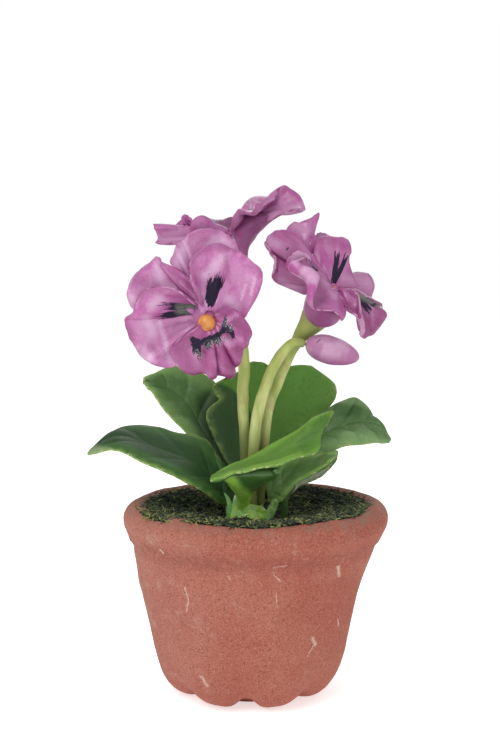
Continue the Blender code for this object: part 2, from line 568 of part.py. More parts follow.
def main():
    clear_scene()
    parts = new_collection("miniature potted pansy")
    cutters = new_collection("cutters")
    work = new_collection("work")
    build_pot(parts)
    build_soil(parts, cutters)
    build_crown(parts, cutters)
    build_leaves(parts, work)
    build_stems(parts)
    build_blooms(parts, work, cutters)
    build_bud(parts)
    bpy.data.collections.remove(work)


main()
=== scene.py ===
import math
import random
from functools import reduce

import bmesh
import bpy
from mathutils import Matrix, Vector, noise


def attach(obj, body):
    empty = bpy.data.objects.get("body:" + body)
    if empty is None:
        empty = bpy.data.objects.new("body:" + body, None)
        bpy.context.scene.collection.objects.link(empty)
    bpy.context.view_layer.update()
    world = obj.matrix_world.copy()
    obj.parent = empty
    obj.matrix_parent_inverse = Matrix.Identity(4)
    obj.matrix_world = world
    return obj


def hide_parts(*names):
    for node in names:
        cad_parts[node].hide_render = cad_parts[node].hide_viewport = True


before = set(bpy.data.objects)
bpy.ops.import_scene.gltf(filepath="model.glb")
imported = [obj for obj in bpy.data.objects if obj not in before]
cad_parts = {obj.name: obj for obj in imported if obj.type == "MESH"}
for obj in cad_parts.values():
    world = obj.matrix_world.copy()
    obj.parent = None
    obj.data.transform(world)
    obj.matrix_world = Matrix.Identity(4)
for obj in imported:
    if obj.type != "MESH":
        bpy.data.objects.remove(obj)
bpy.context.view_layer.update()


# THE POT
# One piece of unglazed red clay, turned and then pressed by hand while soft: the rolled rim leans a little
# to the right and the foot is pinched into eight toes. Sand in the clay shows as grain, and its sides are
# scuffed.

# Sizes are in millimetres here and below. A turned profile's points are (radius, height).
MM = 0.001
WELD = 0.002
POT_WALL = [(4.6, 0.0), (6.0, 0.0), (7.15, 0.35), (8.1, 1.1), (8.85, 2.4), (9.45, 4.5), (9.98, 7.0),
            (10.62, 10.0), (11.22, 12.5), (11.72, 14.0), (12.3, 15.1)]
POT_LINING = [(9.8, 15.2), (9.0, 10.0), (8.0, 5.0), (6.8, 2.9), (5.6, 2.0)]
POT_FLOOR = 1.6
POT_STEPS = 208
RIM_CENTRE = (11.4, 16.85)
RIM_ROLL = 1.45
RIM_TURNS = range(-30, 211, 8)
RIM_CREST = 15
RIM_LEAN = 0.6
LEAN_FROM, LEAN_TO = 10.0, 17.0
GROOVE_AT, GROOVE_WIDTH, GROOVE_DEPTH = 14.6, 0.5, 0.16
TOES = 8
TOE_GAP_AT = math.radians(-93)
TOE_GAP_DEPTH = 0.95
TOE_GAP_RISE = 0.8
TOE_GAP_HEIGHT = 4.2
TOE_GAP_SHARPNESS = 2.5
FLUTE_DEPTH = 0.22
# The hand leaves the wall uneven, in waves of (how many a millimetre, depth).
POT_WAVES = [(0.22, 0.16), (0.9, 0.05)]
CLAY_RED, CLAY_WARM, CLAY_SOOTY = (0.345, 0.096, 0.064), (0.385, 0.127, 0.086), (0.22, 0.07, 0.048)
CLAY_DUST_AND_LIGHT, CLAY_DAMP, CLAY_RIM_SHADE = (0.43, 0.26, 0.21), (0.33, 0.1, 0.07), (0.22, 0.065, 0.045)
SAND_PALE, SAND_DARK, GRIT = (0.55, 0.27, 0.2), (0.24, 0.066, 0.044), (0.17, 0.05, 0.035)
RIM_STAIN, RIM_DUST, SCUFF = (0.06, 0.04, 0.025), (0.2, 0.16, 0.13), (0.68, 0.52, 0.43)
SCUFFS = [([(-5.8, 12.3), (-5.5, 11.2), (-5.7, 10.0)], 0.07), ([(-4.4, 3.7), (-3.95, 2.9)], 0.16),
          ([(5.7, 7.2), (5.95, 6.5)], 0.17), ([(5.8, 6.5), (5.2, 5.6)], 0.06),
          ([(7.9, 14.0), (8.05, 13.0)], 0.17), ([(1.9, 14.2), (2.7, 13.2)], 0.05),
          ([(8.1, 8.5), (8.2, 7.8)], 0.07), ([(-8.0, 15.5), (-7.7, 15.3)], 0.1),
          ([(-1.9, 13.8), (-1.75, 13.5)], 0.06), ([(2.0, 14.6), (3.2, 14.75)], 0.05),
          ([(2.3, 12.2), (2.4, 10.8)], 0.05)]


def along(points, t):
    """The value at t, 0 to 1, of the smooth curve through the points, which are numbers or vectors."""
    last = len(points) - 1
    place = min(max(t, 0.0), 1.0) * last
    i = min(int(place), last - 1)
    f = place - i
    a, b = points[i], points[i + 1]
    before = points[i - 1] if i > 0 else a * 2 - b
    after = points[i + 2] if i + 2 <= last else b * 2 - a
    return 0.5 * (2 * a + (b - before) * f + (2 * before - 5 * a + 4 * b - after) * f * f
                  + (3 * a - before - 3 * b + after) * f ** 3)


def smoothed(profile, steps):
    """The smooth curve through a profile's points, as that many short steps."""
    points = [Vector(point) for point in profile]
    return [tuple(along(points, i / steps)) for i in range(steps + 1)]


def smooth_step(low, high, value):
    """0 where the value is low, 1 where it is high, and smooth in between."""
    t = min(max((value - low) / (high - low), 0.0), 1.0)
    return t * t * (3 - 2 * t)


def hump(value, centre, width):
    """A soft ridge: 1 at the centre and nearly 0 at two widths from it."""
    return math.exp(-((value - centre) / width) ** 2)


def throw(mesh, profile, steps):
    """Turns a profile about the pot's axis, as on a wheel."""
    verts = [mesh.verts.new((radius * MM, 0, height * MM)) for radius, height in profile]
    edges = [mesh.edges.new(pair) for pair in zip(verts, verts[1:])]
    bmesh.ops.spin(mesh, geom=verts + edges, cent=(0, 0, 0), axis=(0, 0, 1), dvec=(0, 0, 0),
                   angle=math.tau, steps=steps, use_merge=True)


def weld(mesh):
    """Joins points that coincide and turns all faces outwards."""
    bmesh.ops.remove_doubles(mesh, verts=mesh.verts, dist=WELD * MM)
    bmesh.ops.recalc_face_normals(mesh, faces=mesh.faces)


def piece_from(mesh, name, materials):
    """Puts a bmesh into a new smooth piece in its place."""
    data = bpy.data.meshes.new(name)
    mesh.to_mesh(data)
    mesh.free()
    data.shade_smooth()
    for material in materials:
        data.materials.append(material)
    piece = bpy.data.objects.new(name, data)
    bpy.context.scene.collection.objects.link(piece)
    return piece


def plant_out(piece, slot, *nodes):
    """Seats a finished piece on the model's body, in place of the plain solids that it stands for."""
    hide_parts(*nodes)
    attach(piece, "root")


class Wash:
    """A number or colour that varies over a surface. Python's operators on it add Math nodes."""

    def __init__(self, finish, socket):
        self.finish = finish
        self.socket = socket

    def maths(self, operation, *values):
        return self.finish.node("Math", {"operation": operation}, dict(enumerate(values)))

    def __add__(self, other):
        return self.maths("ADD", self, other)

    def __radd__(self, other):
        return self.maths("ADD", other, self)

    def __sub__(self, other):
        return self.maths("SUBTRACT", self, other)

    def __rsub__(self, other):
        return self.maths("SUBTRACT", other, self)

    def __mul__(self, other):
        return self.maths("MULTIPLY", self, other)

    def __rmul__(self, other):
        return self.maths("MULTIPLY", other, self)

    def __truediv__(self, other):
        return self.maths("DIVIDE", self, other)

    def __rtruediv__(self, other):
        return self.maths("DIVIDE", other, self)

    def root(self):
        return self.maths("SQRT", self)

    def least(self, other):
        return self.maths("MINIMUM", self, other)

    def most(self, other):
        return self.maths("MAXIMUM", self, other)

    def size(self):
        return self.maths("ABSOLUTE", self)

    def between(self, zero_at, one_at):
        """0 where the value is zero_at, 1 where it is one_at, and smooth in between."""
        return self.finish.node("MapRange", {"interpolation_type": "SMOOTHSTEP"},
                                {"Value": self, "From Min": zero_at, "From Max": one_at})


class Finish:
    """A procedural material. Its patterns lie in the model's own millimetres or follow a sheet's print."""

    def __init__(self, name, **plain):
        self.material = bpy.data.materials.new(name)
        self.material.use_nodes = True
        self.tree = self.material.node_tree
        self.shader = self.tree.nodes["Principled BSDF"]
        for socket, value in plain.items():
            self.shader.inputs[socket.replace("_", " ")].default_value = value
        place = self.node("TexCoord", {}, {}, "Object")
        self.spot = self.node("VectorMath", {"operation": "SCALE"}, {"Vector": place, "Scale": 1 / MM})
        self.x, self.y, self.z = self.parts(self.spot)

    def node(self, kind, settings, inputs, output=0):
        """Adds a node of a type, gives it its settings and then its sockets' values or links."""
        node = self.tree.nodes.new("ShaderNode" + kind)
        for name, value in settings.items():
            setattr(node, name, value)
        for name, value in inputs.items():
            self.plug(node.inputs[name], value)
        return Wash(self, node.outputs[output])

    def plug(self, socket, value):
        """Links a wash to a socket, or sets the socket to a plain number, vector or colour."""
        if isinstance(value, Wash):
            self.tree.links.new(value.socket, socket)
        elif socket.type == "RGBA":
            socket.default_value = (*value, 1)
        else:
            socket.default_value = value

    def parts(self, vector):
        """A vector's x, y and z."""
        whole = self.node("SeparateXYZ", {}, {"Vector": vector})
        return [Wash(self, socket) for socket in whole.socket.node.outputs]

    def print_uv(self):
        """How far across and along its own sheet a point lies, each 0 to 1."""
        return self.parts(self.node("UVMap", {"uv_map": "print"}, {}))[:2]

    def vector(self, x, y, z=0.0):
        return self.node("CombineXYZ", {}, {0: x, 1: y, 2: z})

    def cloud(self, size, detail=2.0, rough=0.5, at=None):
        """Soft noise, 0 to 1 and mostly near 0.5, with patches of about that size."""
        return self.node("TexNoise", {}, {"Vector": at or self.spot, "Scale": 1 / size, "Detail": detail,
                                          "Roughness": rough})

    def coats(self, colour, *coats):
        """A colour under coats of other tones, each with how much of it covers what is below, 0 to 1."""
        for tone, cover in coats:
            colour = self.node("Mix", {"data_type": "RGBA"}, {0: cover, 6: colour, 7: tone}, 2)
        return colour

    def stroke(self, points, width, fray=0.0, core=0.35):
        """1 on a line through points (x, z) to a core share of its width, and 0 from its width on."""
        x, z = self.x, self.z
        if fray:
            x = x + (self.cloud(0.25) - 0.5) * fray
            z = z + (self.cloud(0.21) - 0.5) * fray
        distances = []
        for (ax, az), (bx, bz) in zip(points, points[1:]):
            dx, dz = bx - ax, bz - az
            t = (((x - ax) * dx + (z - az) * dz) / (dx * dx + dz * dz)).least(1.0).most(0.0)
            across, up = x - ax - t * dx, z - az - t * dz
            distances.append((across * across + up * up).root())
        return reduce(Wash.least, distances).between(width, width * core)

    def lay(self, colour, roughness, height, depth):
        """Sets colour and roughness, and the relief's height, 0 to 1, over a depth."""
        self.plug(self.shader.inputs["Base Color"], colour)
        self.plug(self.shader.inputs["Roughness"], roughness)
        bump = self.node("Bump", {}, {"Strength": 1.0, "Distance": depth * MM, "Height": height})
        self.plug(self.shader.inputs["Normal"], bump)


def terracotta():
    """Sandy red clay with pale dust on the left and the rim, soot and scuffs. The left side is made paler
    as painted light, and a band under the rim darker as painted shade.
    """
    clay = Finish("terracotta", Specular_IOR_Level=0.25)
    # Pale dust in patches, most on the left and the rim's side, and painted light: the whole left side is
    # also made a little paler.
    left = clay.x.between(2.0, -11.0)
    rim_side = clay.z.between(14.4, 16.2) * clay.z.between(18.4, 17.2)
    dust_and_left_light = clay.cloud(1.7, 6, 0.75).between(0.5, 0.72) * (0.2 + 0.5 * left + 0.3 * rim_side) + 0.22 * left
    sooty = clay.cloud(1.4, 5, 0.7).between(0.56, 0.75)
    sand = clay.cloud(0.12, 1)
    aside = clay.node("VectorMath", {"operation": "ADD"}, {0: clay.spot, 1: (7.3, 2.1, 5.7)})
    grit = clay.cloud(0.16, 1, at=aside)
    # Painted shade: a darker band under the rim's roll.
    under_rim = clay.z.between(13.5, 15.0) * clay.z.between(16.2, 15.0)
    under_rim_shade = under_rim * clay.cloud(0.5, 4).between(0.25, 0.65)
    damp = clay.z.between(3.0, 0.0) * clay.cloud(1.1, 3).between(0.3, 0.7)
    from_axis = ((clay.x - RIM_LEAN) * (clay.x - RIM_LEAN) + clay.y * clay.y).root()
    inside = from_axis.between(11.9, 11.0) * clay.z.between(16.5, 17.6)
    scratches = reduce(Wash.most, [clay.stroke(points, width * 1.5, 0.35, 0.0) for points, width in SCUFFS])
    scuffed = scratches * clay.cloud(0.16, 3, 0.7).between(0.3, 0.5) * clay.y.between(-2.0, -4.0)
    rim_dust = clay.z.between(17.3, 18.0) * clay.cloud(0.9, 4, 0.65).between(0.38, 0.62)
    colour = clay.coats(CLAY_RED, (CLAY_WARM, clay.cloud(7.0, 3).between(0.35, 0.68)),
                        (CLAY_DUST_AND_LIGHT, dust_and_left_light.least(0.85)), (CLAY_SOOTY, sooty * 0.5),
                        (SAND_PALE, sand.between(0.53, 0.68) * 0.42),
                        (SAND_DARK, sand.between(0.48, 0.34) * 0.42), (GRIT, grit.between(0.57, 0.7) * 0.7),
                        (CLAY_RIM_SHADE, under_rim_shade * 0.6), (CLAY_DAMP, damp * 0.5),
                        (RIM_STAIN, inside * clay.cloud(0.5, 4).between(0.36, 0.6) * 0.85),
                        (SCUFF, scuffed * 0.75),
                        (RIM_DUST, rim_dust * (0.3 + 0.3 * clay.x.between(3.0, 10.0))))
    height = 0.5 * sand + 0.3 * grit + 0.5 * clay.cloud(0.5, 3) - 0.4 * scuffed
    clay.lay(colour, 0.82 + 0.12 * sand, height, 0.09)
    return clay.material


def pinch(vertex):
    """Presses a gap between each pair of toes, with a soft flute above it."""
    x, y, height = vertex.co / MM
    radius = math.hypot(x, y)
    if radius < POT_WALL[0][0]:
        return
    turn = 0.5 + 0.5 * math.cos(TOES * (math.atan2(y, x) - TOE_GAP_AT))
    press = turn ** TOE_GAP_SHARPNESS
    gap = press * TOE_GAP_DEPTH * (1 - smooth_step(0.0, TOE_GAP_HEIGHT, height))
    fades = smooth_step(0.5, 2.5, height) * (1 - smooth_step(6.0, 12.0, height))
    flute = (turn ** 2 - 0.35) * FLUTE_DEPTH * fades
    vertex.co.xy *= 1 - (gap + flute) / radius
    vertex.co.z += press * TOE_GAP_RISE * MM * (1 - smooth_step(0.0, 1.6, height))


def lean(height):
    """How far the pot leans to the right at a height."""
    return RIM_LEAN * smooth_step(LEAN_FROM, LEAN_TO, height)


def build_pot():
    """Throws the outside, pinches its foot and throws the inside on it."""
    roll = [(RIM_CENTRE[0] + RIM_ROLL * math.cos(math.radians(turn)),
             RIM_CENTRE[1] + RIM_ROLL * math.sin(math.radians(turn))) for turn in RIM_TURNS]
    mesh = bmesh.new()
    throw(mesh, [(0.0, 0.0)] + smoothed(POT_WALL, 60) + roll[:RIM_CREST + 1], POT_STEPS)
    for vertex in mesh.verts:
        pinch(vertex)
    throw(mesh, roll[RIM_CREST:] + smoothed(POT_LINING, 14) + [(0.0, POT_FLOOR)], POT_STEPS)
    weld(mesh)
    for vertex in mesh.verts:
        height = vertex.co.z / MM
        uneven = sum(noise.noise(vertex.co / MM * rate) * depth for rate, depth in POT_WAVES)
        uneven -= GROOVE_DEPTH * hump(height, GROOVE_AT, GROOVE_WIDTH)
        vertex.co += vertex.normal * uneven * MM * smooth_step(0.3, 2.0, height)
        vertex.co.x += lean(height) * MM
    plant_out(piece_from(mesh, "clay_pot", [terracotta()]), "terracotta", "pot")


build_pot()


# SOIL AND MOSS
# A plug of dark soil fills the pot, and short strands of dried moss are pressed all over it, up to the
# rim's crest and a little over it in front. They are olive, yellow and nearly black, and lie flat near
# the plant.
SOIL_SIDE = [(0.0, 1.95), (5.4, 2.35), (6.5, 3.15), (7.6, 5.2), (8.6, 10.0), (9.35, 15.2), (9.5, 16.4)]
SOIL_TOP = 18.0
SOIL_RINGS = 40
SOIL_STEPS = 150
SOIL_BLACK, SOIL_BROWN = (0.004, 0.005, 0.003), (0.03, 0.03, 0.014)
MOSS_SURFACE = [16.8, 16.8, 16.9, 17.1, 17.4, 17.8, 18.08, 18.05]
MOSS_REACH = 11.0
MOSS_SPILL = 1.15
MOSS_SHIFT = 0.4
MOSS_LAP = 0.33
MOSS_STRANDS = 9000
MOSS_TONES = [("moss_black", (0.018, 0.028, 0.026), (0.05, 0.066, 0.052)),
              ("moss_dark", (0.03, 0.042, 0.026), (0.09, 0.115, 0.06)),
              ("moss_olive", (0.08, 0.1, 0.04), (0.19, 0.215, 0.09)),
              ("moss_yellow", (0.2, 0.2, 0.06), (0.4, 0.4, 0.14))]
MOSS_LIMITS = [0.28, 0.56, 0.82]
MOSS_SEED = 7
STRAND_THICK = 0.075
STRAND_SUNK = 0.04
# Each strand draws its length and, in radians, its rise, bend and droop from these spans.
STRAND_LENGTH, STRAND_RISE = (0.3, 0.8), (-0.1, 0.75)
STRAND_BEND, STRAND_DROOP = (-0.9, 0.9), (0.0, 0.9)
CROWN_CENTRE = (-0.15, -2.55)


def moss_reach(turn):
    """How far from the middle the moss reaches in a direction. It spills over the rim in front."""
    spill = MOSS_SPILL * smooth_step(0.2, -0.9, math.sin(turn)) * (0.8 + 0.2 * math.sin(turn * 7))
    return MOSS_REACH + spill - MOSS_SHIFT * math.cos(turn)


def moss_height(x, y):
    """The moss's height at a place, with its tufts and dips. It laps over the rim in front."""
    radius = math.hypot(x, y) / MOSS_REACH
    over = min(max(math.hypot(x, y) - RIM_CENTRE[0], 0.0), RIM_ROLL)
    fall = RIM_ROLL - math.sqrt(RIM_ROLL ** 2 - over ** 2)
    tufts = noise.noise(Vector((x * 0.55, y * 0.55, 3.0))) * 0.6
    tufts += noise.noise(Vector((x, y, 9.0)) * 1.9) * 0.3
    inside = min(radius, 1.0)
    lap = MOSS_LAP * smooth_step(4.0, -9.0, y) * smooth_step(0.85, 1.0, radius)
    return along(MOSS_SURFACE, inside) + tufts * (1 - inside ** 6) + lap - fall


def moss_finish(name, dark, light):
    moss = Finish(name, Specular_IOR_Level=0.2)
    shade = moss.cloud(0.5, 3)
    # Painted light: the moss is lighter towards the front.
    front = moss.y.between(2.0, -11.0)
    colour = moss.coats(dark, (light, shade.between(0.35, 0.65)), (light, front * 0.35))
    moss.lay(colour, 0.85 + 0.1 * shade, moss.cloud(0.12, 3), 0.06)
    return moss.material


def soil_finish():
    soil = Finish("dark_soil", Specular_IOR_Level=0.15)
    crumbs = soil.cloud(0.3, 5)
    soil.lay(soil.coats(SOIL_BLACK, (SOIL_BROWN, crumbs.between(0.4, 0.7))), 0.95, crumbs, 0.15)
    return soil.material


def build_bed():
    """The plug of soil, with the bed of the moss as its top."""
    top = [(MOSS_REACH * (1 - i / SOIL_RINGS), SOIL_TOP) for i in range(SOIL_RINGS + 1)]
    mesh = bmesh.new()
    throw(mesh, SOIL_SIDE + top, SOIL_STEPS)
    weld(mesh)
    for vertex in mesh.verts:
        x, y, height = vertex.co / MM
        if height > SOIL_TOP - 1:
            spread = moss_reach(math.atan2(y, x)) / MOSS_REACH - 1
            vertex.co.xy *= 1 + spread * smooth_step(8.0, MOSS_REACH, math.hypot(x, y))
            vertex.co.z = moss_height(vertex.co.x / MM, vertex.co.y / MM) * MM
        vertex.co.x += lean(height) * MM
    plant_out(piece_from(mesh, "soil_bed", [soil_finish()]), "moss", "soil")


def thick_line(name, sides):
    """A curve for a strand or rod of clay, with a spline for each run of points added to it later."""
    line = bpy.data.curves.new(name, "CURVE")
    line.dimensions = "3D"
    line.bevel_depth = MM
    line.bevel_resolution = sides
    line.use_fill_caps = True
    return line


def add_run(line, steps):
    """A new spline of that many steps on a curve."""
    run = line.splines.new("POLY")
    run.points.add(steps)
    return run


def mesh_of(line):
    """The mesh that a curve's thickness makes."""
    curve = bpy.data.objects.new(line.name, line)
    bpy.context.scene.collection.objects.link(curve)
    graph = bpy.context.evaluated_depsgraph_get()
    mesh = bmesh.new()
    mesh.from_mesh(bpy.data.meshes.new_from_object(curve.evaluated_get(graph)))
    bpy.data.objects.remove(curve, do_unlink=True)
    return mesh


def lay_strand(rnd, moss):
    """One strand of moss: two short steps from a random place, bent and drooping."""
    turn = rnd.uniform(0, math.tau)
    reach = moss_reach(turn) * math.sqrt(rnd.random())
    x, y = reach * math.cos(turn), reach * math.sin(turn)
    heading, rise = rnd.uniform(0, math.tau), rnd.uniform(*STRAND_RISE)
    rise *= smooth_step(1.6, 4.6, math.hypot(x - CROWN_CENTRE[0], y - CROWN_CENTRE[1]))
    length = rnd.uniform(*STRAND_LENGTH)
    bend = rnd.uniform(*STRAND_BEND)
    point = Vector((x + RIM_LEAN, y, moss_height(x, y) - STRAND_SUNK))
    strand = add_run(moss, 2)
    for i, place in enumerate(strand.points):
        place.co = (*(point * MM), 1)
        place.radius = STRAND_THICK * (1.1 - 0.4 * i) * rnd.uniform(0.7, 1.2)
        level = math.cos(rise)
        step = Vector((math.cos(heading) * level, math.sin(heading) * level, math.sin(rise)))
        point = point + step * length / 2
        heading += bend
        rise -= rnd.uniform(*STRAND_DROOP)
    clump = noise.noise(Vector((x * 0.9, y * 0.9, 20.0))) * 0.5
    # Painted light: strands nearer the front are more often given the lighter tones.
    bright = 0.36 + 0.14 * smooth_step(3.0, -10.0, y) + clump + rnd.uniform(-0.4, 0.4)
    strand.material_index = sum(bright >= limit for limit in MOSS_LIMITS)


def build_moss():
    materials = [moss_finish(*tones) for tones in MOSS_TONES]
    moss = thick_line("moss_strands", 0)
    for material in materials:
        moss.materials.append(material)
    rnd = random.Random(MOSS_SEED)
    for _ in range(MOSS_STRANDS):
        lay_strand(rnd, moss)
    plant_out(piece_from(mesh_of(moss), "moss_strands", materials), "moss", "soil")


build_bed()
build_moss()


# THE CROWN
# A short collar of glossy lime-green clay, pressed round the feet of the stems, with blunt lobes that
# spread on the moss. It is a little higher at the left. Its wet gloss comes from a varnish.
CROWN_PROFILE = [(0.95, 16.2), (1.4, 16.9), (1.68, 17.15), (1.74, 17.5), (1.62, 17.95), (1.5, 18.4),
                 (1.4, 18.75), (1.26, 18.95), (1.12, 18.8), (1.05, 18.4), (1.0, 17.9)]
CROWN_BASE, CROWN_DIP = 16.2, 17.8
CROWN_LOBES, LOBE_DEPTH = 5, 0.055
CROWN_TILT, CROWN_HIGH_AT = 0.5, 2.9
GREEN_DEEP, GREEN_FRESH, GREEN_LIME = (0.1, 0.27, 0.06), (0.2, 0.42, 0.12), (0.36, 0.62, 0.04)
# In a large share the milky green is painted light on the paler stalk.
GREEN_MILKY, GREEN_TEAL = (0.42, 0.66, 0.3), (0.2, 0.44, 0.19)


def glossy_green(name, lime, pale):
    """Varnished green clay with a share of lime in it, and a share of a paler, milky green."""
    green = Finish(name, Specular_IOR_Level=0.4, Subsurface_Weight=0.15, Subsurface_Scale=0.6 * MM,
                   Coat_Weight=0.7, Coat_Roughness=0.1)
    shade = green.cloud(0.7, 3)
    teal = green.x.between(-0.4, -1.3) * green.cloud(0.6).between(0.4, 0.56)
    colour = green.coats(GREEN_DEEP, (GREEN_FRESH, shade.between(0.35, 0.62)),
                         (GREEN_LIME, lime * green.cloud(0.9).between(0.25, 0.42)),
                         (GREEN_MILKY, pale * green.cloud(0.5).between(0.35, 0.55)),
                         (GREEN_TEAL, teal * 0.6))
    green.lay(colour, 0.15 + 0.2 * shade, green.cloud(0.45), 0.1)
    return green.material


def build_crown():
    mesh = bmesh.new()
    throw(mesh, [(0.0, CROWN_BASE)] + smoothed(CROWN_PROFILE, 44) + [(0.0, CROWN_DIP)], 84)
    weld(mesh)
    for vertex in mesh.verts:
        x, y, height = vertex.co / MM
        angle = math.atan2(y, x)
        spread = smooth_step(19.6, 17.6, height) * smooth_step(0.8, 1.8, math.hypot(x, y))
        lobe = math.cos(CROWN_LOBES * angle + 0.6) + 0.6 * math.cos(3 * angle + 1.0)
        dents = noise.noise(vertex.co / MM * 0.7) * 0.1
        vertex.co.xy *= 1 + LOBE_DEPTH * lobe * spread + dents
        tilt = CROWN_TILT * math.cos(angle - CROWN_HIGH_AT)
        vertex.co.z += tilt * MM * smooth_step(17.4, 18.9, height)
    bmesh.ops.translate(mesh, vec=Vector((*CROWN_CENTRE, 0)) * MM, verts=mesh.verts)
    collar = piece_from(mesh, "crown_collar", [glossy_green("crown_lime", 0.8, 0.0)])
    plant_out(collar, "crown_green", "crown")


build_crown()


# THE LEAVES
# Seven leaves of green clay, rolled thin, cut out by hand and pressed with veins, each on its own stalk.
# Their cut edges are pale and a little torn. The stalks are pushed into the soil, but the front leaf stands
# on a funnel of clay, with a pellet of it stuck underneath.

